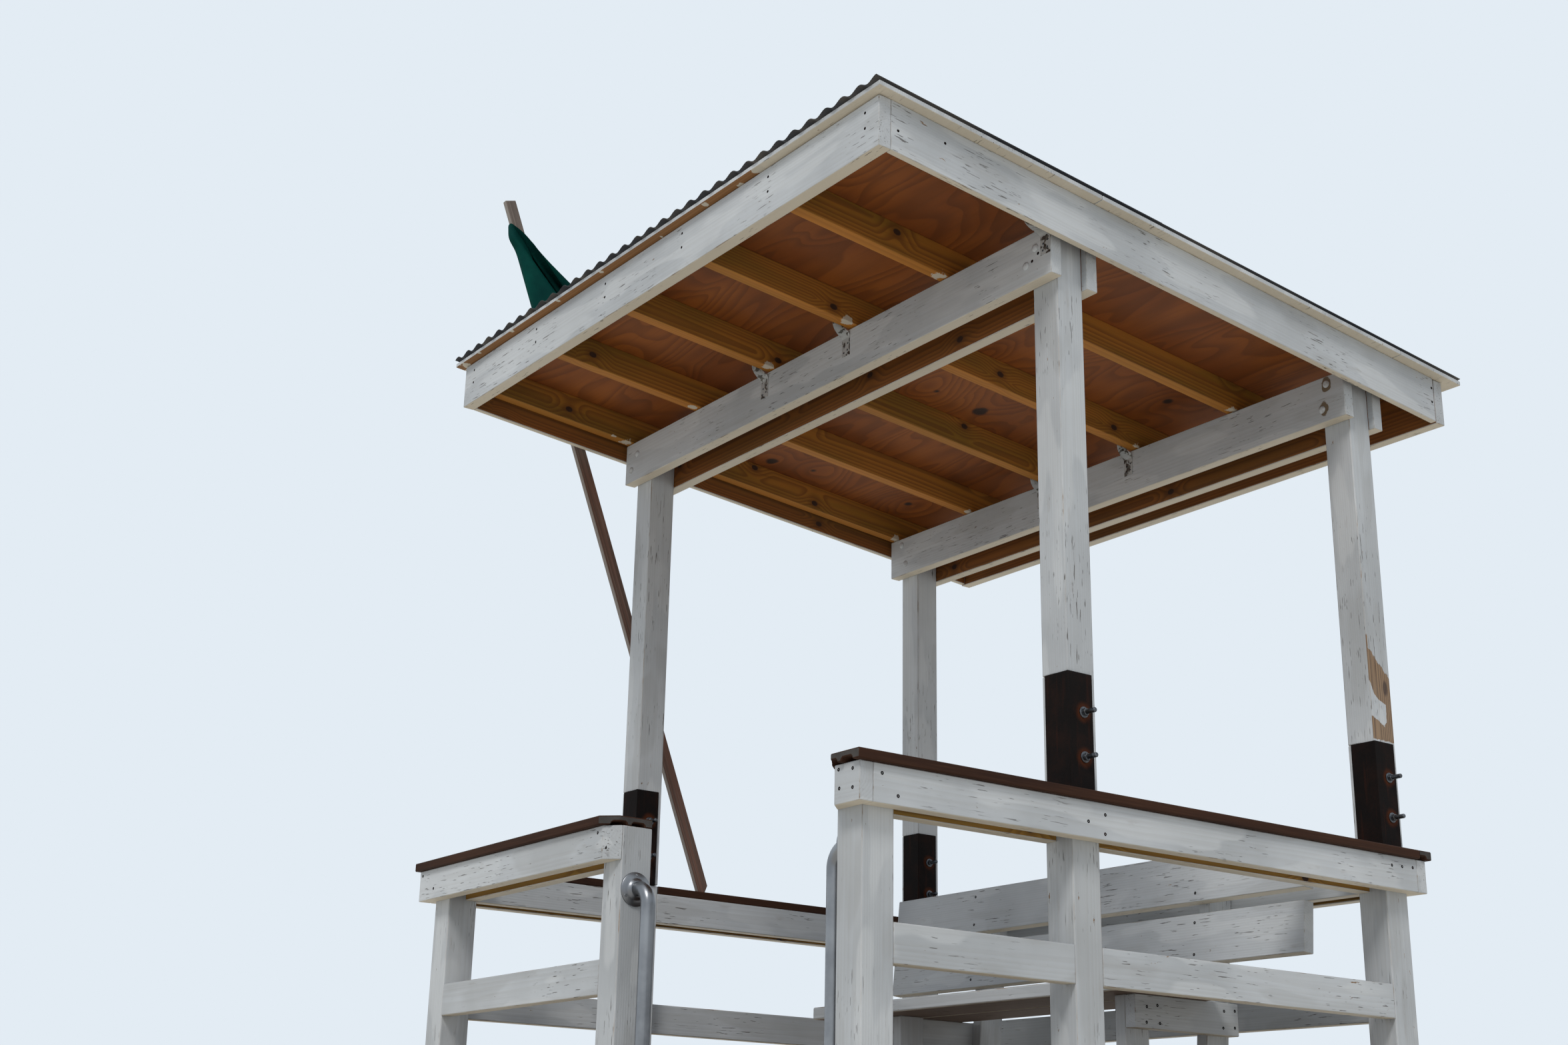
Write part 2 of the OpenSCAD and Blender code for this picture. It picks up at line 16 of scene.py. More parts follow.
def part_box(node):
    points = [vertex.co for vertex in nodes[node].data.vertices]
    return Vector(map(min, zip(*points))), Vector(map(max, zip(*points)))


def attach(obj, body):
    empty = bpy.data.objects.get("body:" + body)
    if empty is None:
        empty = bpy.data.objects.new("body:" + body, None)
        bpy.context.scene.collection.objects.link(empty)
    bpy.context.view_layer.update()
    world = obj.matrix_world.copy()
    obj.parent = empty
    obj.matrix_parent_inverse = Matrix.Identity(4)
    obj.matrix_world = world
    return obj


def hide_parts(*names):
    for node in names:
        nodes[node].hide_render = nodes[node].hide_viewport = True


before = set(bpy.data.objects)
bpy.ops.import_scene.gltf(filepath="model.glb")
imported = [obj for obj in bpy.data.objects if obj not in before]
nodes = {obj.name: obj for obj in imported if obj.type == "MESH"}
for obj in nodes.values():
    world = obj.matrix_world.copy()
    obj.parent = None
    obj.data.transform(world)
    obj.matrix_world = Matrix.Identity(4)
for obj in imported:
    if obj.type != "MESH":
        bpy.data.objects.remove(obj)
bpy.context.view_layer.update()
MM = 0.001

# %% [markdown]
# ## Camera
# The photograph was taken from the sand in front of the right corner, looking up. Its place and
# turn were found by fitting the corners of the posts, caps and roof boards. A long sensor side of
# 36 mm and this focal length give the photograph's field of view.

# %% Camera
CAMERA_AT = Vector((3.40085, -2.69570, 1.52182))
YAW = math.radians(-54.1530)
PITCH = math.radians(19.0065)
ROLL = math.radians(1.2324)
SENSOR_MM = 36.0
LENS_MM = 45.490

ahead = Vector((math.sin(YAW) * math.cos(PITCH), math.cos(YAW) * math.cos(PITCH), math.sin(PITCH)))
level = Vector((math.cos(YAW), -math.sin(YAW), 0))
upright = level.cross(ahead)
right = math.cos(ROLL) * level + math.sin(ROLL) * upright
up = math.cos(ROLL) * upright - math.sin(ROLL) * level

lens = bpy.data.cameras.new("camera")
lens.sensor_width = SENSOR_MM
lens.lens = LENS_MM
camera = bpy.data.objects.new("camera", lens)
camera.matrix_world = Matrix.Translation(CAMERA_AT) @ Matrix((right, up, -ahead)).transposed().to_4x4()
bpy.context.scene.collection.objects.link(camera)
bpy.context.scene.camera = camera
bpy.context.scene.view_settings.view_transform = "Standard"
print("camera", [round(c, 2) for c in CAMERA_AT], "looking along", [round(c, 2) for c in ahead])

# %% [markdown]
# ## Nodes and colours
# Every material and every Geometry Nodes tree below is built with one small function, which adds
# a node, sets it and links it. Colours are written as sRGB hex values, as a paint chart gives
# them, and one function turns them into the linear values that a shader works in.


# %% Helpers for nodes and colours
def srgb(code):
    """A colour written as #rrggbb, as the linear colour that a shader needs."""
    parts = [int(code[i : i + 2], 16) / 255 for i in (1, 3, 5)]
    return [c / 12.92 if c <= 0.04045 else ((c + 0.055) / 1.055) ** 2.4 for c in parts] + [1.0]


def connect(tree, node, inputs):
    """Gives a node's sockets their values. inputs are the values of its first sockets in order, or
    map sockets to values, and a value may be another node's output."""
    for socket, value in inputs.items() if isinstance(inputs, dict) else enumerate(inputs):
        if isinstance(value, bpy.types.NodeSocket):
            tree.links.new(value, node.inputs[socket])
        else:
            node.inputs[socket].default_value = value


def add(tree, kind, inputs=(), out=0, stops=(), **settings):
    """Adds a node and gives back its output out, or the node itself where out is None. settings are
    the node's own properties, and stops are the places and colours of a colour ramp."""
    node = tree.nodes.new(kind)
    for name, value in settings.items():
        setattr(node, name, value)
    connect(tree, node, inputs)
    for i, (place, colour) in enumerate(stops):
        stop = node.color_ramp.elements[i] if i < 2 else node.color_ramp.elements.new(place)
        stop.position = place
        stop.color = colour
    return node if out is None else node.outputs[out]


FRESH_WHITE = "#bdc1c4"
print("white paint is", [round(c, 2) for c in srgb(FRESH_WHITE)[:3]], "in linear values")

# %% [markdown]
# ## Light and floor
# A plain studio: an even pale surround, one wide soft lamp high in front of the tower to the
# right, and a pale floor that throws light up under the roof, as the sand does. The surround that
# the camera and the metal see is a little lighter than the one that lights the wood. The floor is
# clear from below, so that the underside can be looked at.

# %% Light and floor
SURROUND_LIGHT = 0.62
LAMP_STRENGTH = 1.5
LAMP_FROM = Vector((0.55, -0.75, 1.05))
LAMP_WIDTH = math.radians(16)
FLOOR_HALF = 45.0

world = bpy.data.worlds.new("studio")
bpy.context.scene.world = world
world.use_nodes = True
sky = world.node_tree
sky.nodes.clear()
path = add(sky, "ShaderNodeLightPath", out=None).outputs
seen = add(sky, "ShaderNodeMath", (path["Is Camera Ray"], path["Is Glossy Ray"]), operation="ADD")
seen = add(sky, "ShaderNodeMath", (seen, path["Is Transmission Ray"]), operation="ADD", use_clamp=True)
lighting = add(sky, "ShaderNodeBackground", {"Color": srgb("#f1f7ff"), "Strength": SURROUND_LIGHT})
backdrop = add(sky, "ShaderNodeBackground", {"Color": srgb("#e3ecf4"), "Strength": 1.0})
surround = add(sky, "ShaderNodeMixShader", (seen, lighting, backdrop))
add(sky, "ShaderNodeOutputWorld", {"Surface": surround}, None)

lamp = bpy.data.lights.new("lamp", "SUN")
lamp.energy = LAMP_STRENGTH
lamp.angle = LAMP_WIDTH
lamp.color = srgb("#fffcf8")[:3]
lamp_object = bpy.data.objects.new("lamp", lamp)
lamp_object.rotation_euler = LAMP_FROM.to_track_quat("Z", "Y").to_euler()
bpy.context.scene.collection.objects.link(lamp_object)

floor_mesh = bpy.data.meshes.new("floor")
corners = [(-FLOOR_HALF, -FLOOR_HALF, 0), (FLOOR_HALF, -FLOOR_HALF, 0)]
corners += [(FLOOR_HALF, FLOOR_HALF, 0), (-FLOOR_HALF, FLOOR_HALF, 0)]
floor_mesh.from_pydata(corners, [], [(0, 1, 2, 3)])
floor = bpy.data.objects.new("floor", floor_mesh)
bpy.context.scene.collection.objects.link(floor)
floor_paint = bpy.data.materials.new("matt studio floor")
floor_paint.use_nodes = True
floor_tree = floor_paint.node_tree
floor_skin = floor_tree.nodes["Principled BSDF"]
connect(floor_tree, floor_skin, {"Base Color": srgb("#e0dcd3"), "Roughness": 0.9})
from_below = add(floor_tree, "ShaderNodeNewGeometry", out="Backfacing")
clear = add(floor_tree, "ShaderNodeBsdfTransparent")
one_sided = add(floor_tree, "ShaderNodeMixShader", (from_below, floor_skin.outputs[0], clear))
connect(floor_tree, floor_tree.nodes["Material Output"], {"Surface": one_sided})
floor_mesh.materials.append(floor_paint)
print("surround", SURROUND_LIGHT, "lamp", LAMP_STRENGTH)

# %% [markdown]
# ## A place on every board
# Wood grain follows the board and not the room. So each board gets its own coordinates, stored on
# its mesh as the attribute board: along the board, across it and through it, in metres, with the
# pith of its tree somewhere beside it. Rings round that pith then show as long arches on the wide
# faces, as lines on the narrow ones and as arcs on the end grain, from one rule. A second
# attribute, arris, is 1 on the rounded edges, where paint wears first. A copy of a board is
# cleaned before that: points closer than WELD are joined, and faces that turn less than FLAT from
# each other become one. Only edges that turn more than SHARP are rounded.


# %% Boards and their own coordinates
WELD = 0.02 * MM
FLAT = math.radians(0.5)
SHARP = math.radians(25)
SHORTEST_ROUNDED = 4 * MM


def solids(bm):
    """The separate solids of a mesh, each as a list of its faces, in the mesh's own order."""
    found, seen_faces = [], set()
    for first in bm.faces:
        if first in seen_faces:
            continue
        seen_faces.add(first)
        group = [first]
        for face in group:
            for edge in face.edges:
                for other in edge.link_faces:
                    if other not in seen_faces:
                        seen_faces.add(other)
                        group.append(other)
        found.append(group)
    return found


def board_axes(faces):
    """The directions along, across and through a board, from its longest edge and widest face.
    Sizes are rounded first, so that of equal ones the first is taken."""
    edges = [edge for face in faces for edge in face.edges]
    longest = max(edges, key=lambda edge: round(edge.calc_length(), 4))
    widest = max(faces, key=lambda face: round(face.calc_area(), 6))
    along = (longest.verts[1].co - longest.verts[0].co).normalized()
    if max(along, key=abs) < 0:
        along = -along
    across = widest.normal.cross(along).normalized()
    if max(across, key=abs) < 0:
        across = -across
    return along, across, along.cross(across)


def mark_boards(bm, name, rounded=()):
    """Stores each point's place on its own board, and where the rounded edges are."""
    place = bm.verts.layers.float_vector.new("board")
    arris = bm.verts.layers.float.new("arris")
    for faces in solids(bm):
        along, across, through = board_axes(faces)
        points = list(dict.fromkeys(vert for face in faces for vert in face.verts))
        middle = sum((vert.co for vert in points), Vector()) / len(points)
        luck = random.Random(f"{name} {middle.x:.2f} {middle.y:.2f} {middle.z:.2f}")
        length_shift = luck.uniform(2, 18)
        side_shift = luck.uniform(-45, 45) * MM
        pith_shift = luck.choice((-1, 1)) * luck.uniform(15, 60) * MM
        for vert in points:
            from_middle = vert.co - middle
            vert[place] = (
                from_middle.dot(along) + length_shift,
                from_middle.dot(across) + side_shift,
                from_middle.dot(through) + pith_shift,
            )
            vert[arris] = float(all(face in rounded for face in vert.link_faces))


def clean_copy(node):
    """A CAD node's mesh with its loose triangles joined and its flat faces made whole."""
    bm = bmesh.new()
    bm.from_mesh(nodes[node].data)
    bmesh.ops.remove_doubles(bm, verts=bm.verts[:], dist=WELD)
    bmesh.ops.dissolve_limit(bm, angle_limit=FLAT, verts=bm.verts[:], edges=bm.edges[:])
    return bm


def round_edges(bm, radius, steps=2):
    """Rounds the long sharp edges, and returns the faces that this makes."""
    sharp = []
    for edge in bm.edges:
        if edge.is_manifold and edge.calc_length() > SHORTEST_ROUNDED and edge.calc_face_angle(0) > SHARP:
            sharp.append(edge)
    made = bmesh.ops.bevel(
        bm, geom=sharp, offset=radius, offset_type="OFFSET", segments=steps, profile=0.5, affect="EDGES"
    )
    for face in made["faces"]:
        face.smooth = True
    return set(made["faces"])


def finished(name, bm, finishes, stands_for=()):
    """Turns a mesh under construction into a piece that rides on the tower."""
    mesh = bpy.data.meshes.new(name)
    bm.to_mesh(mesh)
    bm.free()
    for finish in finishes:
        mesh.materials.append(finish)
    piece = bpy.data.objects.new(name, mesh)
    bpy.context.scene.collection.objects.link(piece)
    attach(piece, "root")
    if stands_for:
        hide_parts(*stands_for)
    return piece


def dressed(node, finishes, edge_mm=2.5, pick=None, cuts=()):
    """A board node with eased edges. pick gives the number of a face's finish. cuts are places along
    X, where the faces are split first so that the finish can change there."""
    bm = clean_copy(node)
    for x in cuts:
        everything = bm.verts[:] + bm.edges[:] + bm.faces[:]
        bmesh.ops.bisect_plane(bm, geom=everything, plane_co=(x, 0, 0), plane_no=(1, 0, 0))
    rounded = round_edges(bm, edge_mm * MM)
    mark_boards(bm, node, rounded)
    for face in bm.faces:
        if pick and face not in rounded:
            face.material_index = pick(face)
    return finished(f"{node}_dressed", bm, finishes, [node])


def low(node):
    """A node's lowest corner."""
    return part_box(node)[0]


def high(node):
    """A node's highest corner."""
    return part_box(node)[1]


post = high("front_right_post").x - low("front_right_post").x
board_t = (high("mid_beam").y - low("mid_beam").y - post) / 2
print("post", round(post / MM), "mm, board", round(board_t / MM), "mm")

# %% [markdown]
# ## Wood patterns
# Three patterns are shared by the finishes. Growth rings are the distance from the pith, bent by
# a slow noise so that the wide faces show arches. Knots come once in each stretch of a board, at a
# chance place across it, and the rings swell round them. Streaks are a fine noise drawn out along
# the grain. Southern pine has rings 3 to 8 mm wide, so 7 mm is true to it and still shows. Where
# a value is spread over other limits, the ends are eased, as nothing on wood starts sharply.


# %% Growth rings, knots and streaks
RING_MM = 7.0
KNOT_RADIUS = 9 * MM
KNOT_SPACING = 0.55
KNOT_SPREAD = 0.1
EASED = {"interpolation_type": "SMOOTHSTEP"}


def on_board(tree, along=1.0, across=1.0):
    """A point's place on its board, with a number of pattern steps in each metre."""
    place = add(tree, "ShaderNodeAttribute", out="Vector", attribute_name="board")
    return add(tree, "ShaderNodeMapping", {"Vector": place, "Scale": (along, across, across)})


def grain(tree, along, across, detail=3.0, roughness=0.55, distortion=0.0):
    """A cloudy value round 0.5, with so many clouds in a metre along the board and across it."""
    sockets = {"Vector": on_board(tree, along, across), "Scale": 1.0, "Detail": detail}
    sockets |= {"Roughness": roughness, "Distortion": distortion}
    return add(tree, "ShaderNodeTexNoise", sockets)


def patches(tree, in_metre, detail=3.0, roughness=0.55):
    """The same in the object's own space. in_metre is a number, or three of them for X, Y and Z."""
    steps = in_metre if isinstance(in_metre, tuple) else (in_metre, in_metre, in_metre)
    here = add(tree, "ShaderNodeTexCoord", out="Object")
    place = add(tree, "ShaderNodeMapping", {"Vector": here, "Scale": steps})
    sockets = {"Vector": place, "Scale": 1.0, "Detail": detail, "Roughness": roughness}
    return add(tree, "ShaderNodeTexNoise", sockets)


def knots_on(tree):
    """The distance in metres from a board's nearest knot. A Voronoi texture of one dimension puts
    one in each spacing along the board, and its colour gives the place across."""
    place = add(tree, "ShaderNodeAttribute", out="Vector", attribute_name="board")
    apart = add(tree, "ShaderNodeSeparateXYZ", (place,), None).outputs
    steps = add(tree, "ShaderNodeMath", (apart["X"], KNOT_SPACING), operation="DIVIDE")
    cell = add(tree, "ShaderNodeTexVoronoi", {"W": steps, "Scale": 1.0}, None, voronoi_dimensions="1D")
    luck = add(tree, "ShaderNodeSeparateColor", (cell.outputs["Color"],))
    centred = add(tree, "ShaderNodeMath", (apart["Y"], KNOT_SPREAD / 2), operation="ADD")
    aside = add(tree, "ShaderNodeMath", (luck, -KNOT_SPREAD, centred), operation="MULTIPLY_ADD")
    away = (cell.outputs["Distance"], 0.7 * KNOT_SPACING)
    away = add(tree, "ShaderNodeMath", away, operation="MULTIPLY")
    flat = add(tree, "ShaderNodeCombineXYZ", (away, aside))
    return add(tree, "ShaderNodeVectorMath", (flat,), "Value", operation="LENGTH")


def growth_rings(tree, ring_mm=RING_MM, sway_mm=14.0, knots=None, arch=0.9):
    """0 in pale early wood, rising to 1 in the dark line that ends each year's growth. arch is how
    many bends a metre of board has."""
    across = add(tree, "ShaderNodeVectorMath", (on_board(tree), (0, 1, 1)), operation="MULTIPLY")
    radius = add(tree, "ShaderNodeVectorMath", (across,), "Value", operation="LENGTH")
    sway = grain(tree, arch, 6.0, 2.0)
    radius = add(tree, "ShaderNodeMath", (sway, 2 * sway_mm * MM, radius), operation="MULTIPLY_ADD")
    if knots:
        swell = add(tree, "ShaderNodeMapRange", (knots, KNOT_RADIUS, 7 * KNOT_RADIUS, 1.0, 0.0), **EASED)
        radius = add(tree, "ShaderNodeMath", (swell, 2 * ring_mm * MM, radius), operation="MULTIPLY_ADD")
    turn = add(tree, "ShaderNodeMath", (radius, ring_mm * MM), operation="DIVIDE")
    turn = add(tree, "ShaderNodeMath", (turn,), operation="FRACT")
    rise = add(tree, "ShaderNodeMapRange", (turn, 0.1, 0.86), **EASED)
    fall = add(tree, "ShaderNodeMapRange", (turn, 0.88, 1.0, 1.0, 0.0), **EASED)
    return add(tree, "ShaderNodeMath", (rise, fall), operation="MULTIPLY")


print("patterns: growth rings", RING_MM, "mm wide, knots", round(2 * KNOT_RADIUS / MM), "mm across")

# %% [markdown]
# ## Laying colour on colour
# A finish is built as a painter would: a ground colour, then thinner coats over it. A stain shows
# where a pattern rises from one value to another, and a coat by a given amount. Wear depends on
# which way a face looks, and marks on how far away their centre is. A bump, as deep as the real
# texture, raises what stands out.


# %% Coats, stains and marks
def linear(colour):
    """A hex colour turned to linear values, or a node's colour as it is."""
    return srgb(colour) if isinstance(colour, str) else colour


def stain(tree, colour, other, pattern, start, end, least=0.0, most=1.0):
    """Lays another colour over a colour, from least to most as a pattern goes from start to end."""
    amount = add(tree, "ShaderNodeMapRange", (pattern, start, end, least, most), **EASED)
    return add(tree, "ShaderNodeMix", {0: amount, 6: linear(colour), 7: linear(other)}, 2, data_type="RGBA")


def coat(tree, colour, other, amount, most=1.0):
    """Lays another colour over a colour by an amount of 0 to 1, times the most that it may be."""
    amount = add(tree, "ShaderNodeMath", (amount, most), operation="MULTIPLY")
    return add(tree, "ShaderNodeMix", {0: amount, 6: linear(colour), 7: linear(other)}, 2, data_type="RGBA")


def looks_along(tree, axis):
    """How much a face looks along an axis: from 1 along it to -1 against it."""
    normal = add(tree, "ShaderNodeNewGeometry", out="Normal")
    return add(tree, "ShaderNodeSeparateXYZ", (normal,), axis)


def ragged_distance(tree, here, centre, pattern, by):
    """How many metres a point is from a centre, made uneven by a pattern times a share."""
    away = add(tree, "ShaderNodeVectorMath", (here, centre), "Value", operation="DISTANCE")
    return add(tree, "ShaderNodeMath", (pattern, by, away), operation="MULTIPLY_ADD")


def new_finish(name):
    """A material with its node tree and its shader."""
    material = bpy.data.materials.new(name)
    material.use_nodes = True
    tree = material.node_tree
    return material, tree, tree.nodes["Principled BSDF"]


print("stains follow a pattern, coats an amount")

# %% [markdown]
# ## Weathered white paint
# The lumber is brushed with white acrylic house paint over pine, years ago. The eye sees a chalky
# white gone to a cool grey, brushed patches a little whiter or duller, thin lines where the hard
# late wood shows through, brown arrises where the coat has worn thin, dark checks along the grain,
# and bare wood where it has flaked. Faces that look down are laid beige: a painted light, for the
# warm light that the sand throws up. Paint has the usual IOR of 1.5, and chalked paint is rough.


# %% White paint
MARK_RADIUS = 17 * MM
MARK_DRAWN_OUT = 0.7


def chalky_coat(tree, rings, clouds, streaks, rubbed):
    """The colour of a sound coat: clouded, brushed, streaked and rubbed."""
    brushed = grain(tree, 2.2, 9.0, 2.0, 0.5)
    colour = stain(tree, FRESH_WHITE, "#a9adb0", clouds, 0.34, 0.68)
    colour = stain(tree, colour, "#d2d5d6", brushed, 0.53, 0.57, 0.0, 0.34)
    colour = stain(tree, colour, "#9b9c9b", brushed, 0.43, 0.38, 0.0, 0.3)
    colour = stain(tree, colour, "#98989a", streaks, 0.5, 0.76, 0.0, 0.2)
    colour = coat(tree, colour, "#8b8478", rings, 0.1)
    colour = stain(tree, colour, "#96908a", rubbed, 0.62, 0.76, 0.0, 0.3)
    # Painted light: faces that look down are laid beige, for the warm light thrown up from the sand.
    return stain(tree, colour, "#d3c5ab", looks_along(tree, "Z"), -0.35, -0.9, 0.0, 0.75)


def fine_checks(tree):
    """Short cracks along the grain, in crowds."""
    crowd = add(tree, "ShaderNodeMapRange", (patches(tree, 3.1, 2.0), 0.44, 0.56), **EASED)
    checks = add(tree, "ShaderNodeMapRange", (grain(tree, 18.0, 230.0, 2.0), 0.65, 0.69), **EASED)
    return add(tree, "ShaderNodeMath", (checks, crowd), operation="MULTIPLY")


def white_paint(name, bare_part=None, rust_marks=()):
    """White paint. bare_part, where given, draws the part that has lost its paint, and rust_marks
    are places, in metres, where a bolt has bled rust on the paint."""
    material, tree, skin = new_finish(name)
    here = add(tree, "ShaderNodeTexCoord", out="Object")
    rings = growth_rings(tree, sway_mm=10.0)
    clouds = patches(tree, 1.7, 5.0)
    streaks = grain(tree, 3.0, 110.0)
    rubbed = grain(tree, 9.0, 44.0, 4.0, 0.6)
    checks = fine_checks(tree)
    colour = coat(tree, chalky_coat(tree, rings, clouds, streaks, rubbed), "#4b443e", checks, 0.8)
    for x, y, z in rust_marks:
        flat = add(tree, "ShaderNodeVectorMath", (here, (1, 1, MARK_DRAWN_OUT)), operation="MULTIPLY")
        away = ragged_distance(tree, flat, (x, y, MARK_DRAWN_OUT * z), rubbed, 0.02)
        colour = stain(tree, colour, "#5f4a2a", away, 1.45 * MARK_RADIUS, 1.6 * MARK_RADIUS, 0.9, 0.0)

    arris = add(tree, "ShaderNodeAttribute", out="Fac", attribute_name="arris")
    grimy = add(tree, "ShaderNodeMapRange", (rubbed, 0.4, 0.62, 0.05, 0.5), **EASED)
    colour = coat(tree, colour, "#8a7f71", arris, grimy)
    worn = add(tree, "ShaderNodeMapRange", (rubbed, 0.59, 0.66, 0.0, 0.8), **EASED)
    worn = add(tree, "ShaderNodeMath", (arris, worn), operation="MULTIPLY")
    flaked = add(tree, "ShaderNodeMapRange", (grain(tree, 14.0, 55.0, 4.0, 0.7), 0.70, 0.72), **EASED)
    bare = add(tree, "ShaderNodeMath", (worn, flaked), operation="MAXIMUM")
    wood = coat(tree, "#937759", "#573f2b", rings)
    if bare_part:
        spot, wood = bare_part(tree, here, wood)
        bare = add(tree, "ShaderNodeMath", (bare, spot), operation="MAXIMUM")
    colour = coat(tree, colour, wood, bare)

    roughness = add(tree, "ShaderNodeMapRange", (clouds, 0.3, 0.7, 0.52, 0.7), **EASED)
    height = add(tree, "ShaderNodeMath", (streaks, 0.5), operation="MULTIPLY")
    height = add(tree, "ShaderNodeMath", (rings, 0.12, height), operation="MULTIPLY_ADD")
    missing = add(tree, "ShaderNodeMath", (bare, 0.6), operation="MULTIPLY")
    missing = add(tree, "ShaderNodeMath", (checks, missing), operation="MAXIMUM")
    height = add(tree, "ShaderNodeMath", (height, missing), operation="SUBTRACT")
    bump = add(tree, "ShaderNodeBump", {"Height": height, "Distance": 0.8 * MM})
    connect(tree, skin, {"Base Color": colour, "Roughness": roughness, "Normal": bump})
    return material


paint = white_paint("weathered white acrylic paint on pine")
back_beam_front = low("back_beam").y
rusty_bolts = ((0.002, back_beam_front, 3.822), (-0.012, back_beam_front, 3.750))
marked_paint = white_paint("weathered white acrylic paint, rust marked", rust_marks=rusty_bolts)

plain_paint, plain_tree, plain_skin = new_finish("white acrylic paint on steel")
shade = stain(plain_tree, "#bfc2c4", "#a3a4a4", patches(plain_tree, 60.0), 0.4, 0.65)
connect(plain_tree, plain_skin, {"Base Color": shade, "Roughness": 0.6})
print(paint.name, marked_paint.name, plain_paint.name, sep="; ")

# %% [markdown]
# ## Bare pine
# Rafters, joists and the inner faces of doubled boards are pressure-treated southern pine, never
# painted. The eye sees yellow brown wood with a green cast, strong dark rings, a few dark knots,
# and, close in front of the beams, white smears where a brush ran on. Faces that look down take a
# colour of their own; on the sawn pine it is lighter and golden, a painted light for the light
# thrown up from the sand. The wood between the rails still has its honey colour, and the wood under
# the roof edge has gone brown. Sawn pine has a roughness near 0.7. Its rings are drawn 9 mm wide, so
# that they show from the ground.


# %% Bare pine
def bare_pine(name, pale, green, dark, below, smears=()):
    """Bare pine. below is the colour laid on faces that look down: a tone of the wood, and on the sawn
    pine a painted light, lighter and golden, for light thrown up from the sand. smears are the places
    and sizes of white brush marks, in metres."""
    material, tree, skin = new_finish(name)
    knots = knots_on(tree)
    rings = growth_rings(tree, 9.0, 18.0, knots, arch=0.45)
    fibres = grain(tree, 2.5, 90.0, 2.0)
    colour = stain(tree, pale, green, grain(tree, 1.5, 9.0, 4.0), 0.38, 0.66)
    colour = coat(tree, colour, dark, rings, 0.55)
    colour = stain(tree, colour, dark, fibres, 0.5, 0.75, 0.0, 0.3)
    colour = stain(tree, colour, dark, knots, KNOT_RADIUS, 3 * KNOT_RADIUS, 0.5, 0.0)
    colour = stain(tree, colour, "#331c0f", knots, 0.85 * KNOT_RADIUS, 1.2 * KNOT_RADIUS, 1.0, 0.0)
    # Faces that look down take the colour below; on the sawn pine this is painted light from beneath.
    colour = stain(tree, colour, below, looks_along(tree, "Z"), -0.6, -0.95, 0.0, 0.45)
    if smears:
        here = add(tree, "ShaderNodeTexCoord", out="Object")
        ragged = patches(tree, 34.0, 4.0, 0.7)
        white = 0.0
        for centre, size in smears:
            away = ragged_distance(tree, here, centre, ragged, 1.6 * size)
            mark = add(tree, "ShaderNodeMapRange", (away, 1.42 * size, 1.34 * size), **EASED)
            white = add(tree, "ShaderNodeMath", (mark, white), operation="MAXIMUM")
        colour = coat(tree, colour, "#c9c2b2", white, 0.9)
    height = add(tree, "ShaderNodeMath", (fibres, 0.4), operation="MULTIPLY")
    height = add(tree, "ShaderNodeMath", (rings, 0.3, height), operation="MULTIPLY_ADD")
    bump = add(tree, "ShaderNodeBump", {"Height": height, "Distance": 0.2 * MM})
    connect(tree, skin, {"Base Color": colour, "Roughness": 0.72, "Normal": bump})
    return material


beam_front, beam_under = low("mid_beam").y, high("mid_beam").z
back_front, back_under = low("back_beam").y, high("back_beam").z
brush_marks = ((-1.985, 0.02, 0.034), (-1.968, 0.075, 0.02), (-1.58, 0.02, 0.024),
               (-1.16, 0.02, 0.03), (-0.75, 0.03, 0.034), (-0.36, 0.02, 0.03), (0.06, 0.03, 0.02))
smears = []
for x, before, size in brush_marks:
    smears.append(((x, beam_front - before, beam_under), size))
    smears.append(((x + 0.01, back_front - 0.4 * before, back_under), 0.9 * size))
# The sawn pine's last colour, light and golden, is painted light on faces that look down.
pine = bare_pine("pressure-treated pine, sawn", "#ab6f24", "#87621b", "#5f350b", "#c67d22", smears)
rail_pine = bare_pine("pressure-treated pine, honey coloured", "#a87d35", "#8f6f2c", "#6c4a1c", "#9a6f2c")
old_pine = bare_pine("pressure-treated pine, browned", "#8c541b", "#784d17", "#512c0c", "#8c541b")
brown_pine = bare_pine("pine, grey brown underneath", "#87705f", "#735f52", "#4d3c32", "#7c6757")
print(pine.name, "with", len(smears), "smears")

# %% [markdown]
# ## Plywood
# The roof deck is exterior pine plywood. Its face is peeled from the log in one long sheet, so the
# grain shows as wandering contour lines with wide arches, red brown with age, and dark oval
# knots. Contours of one slow noise, drawn out along the sheet, give just that. Six knots that the
# photograph shows are listed one by one, the others fall by chance, and the contours close round
# them.


# %% Plywood
PLY_KNOTS = ((-1.056, 1.115, 0.008), (-1.066, 1.307, 0.024), (-1.907, 1.081, 0.02),
             (-1.862, 1.23, 0.008), (-1.843, 1.648, 0.012), (-0.576, 1.661, 0.014))
PLY_KNOT_DRAWN_OUT = 0.8
PLY_KNOT_CELLS = (1.7, 2.6, 0.0)
PLY_KNOT_EDGE = 0.04
PLY_KNOT_REACH = 1.6


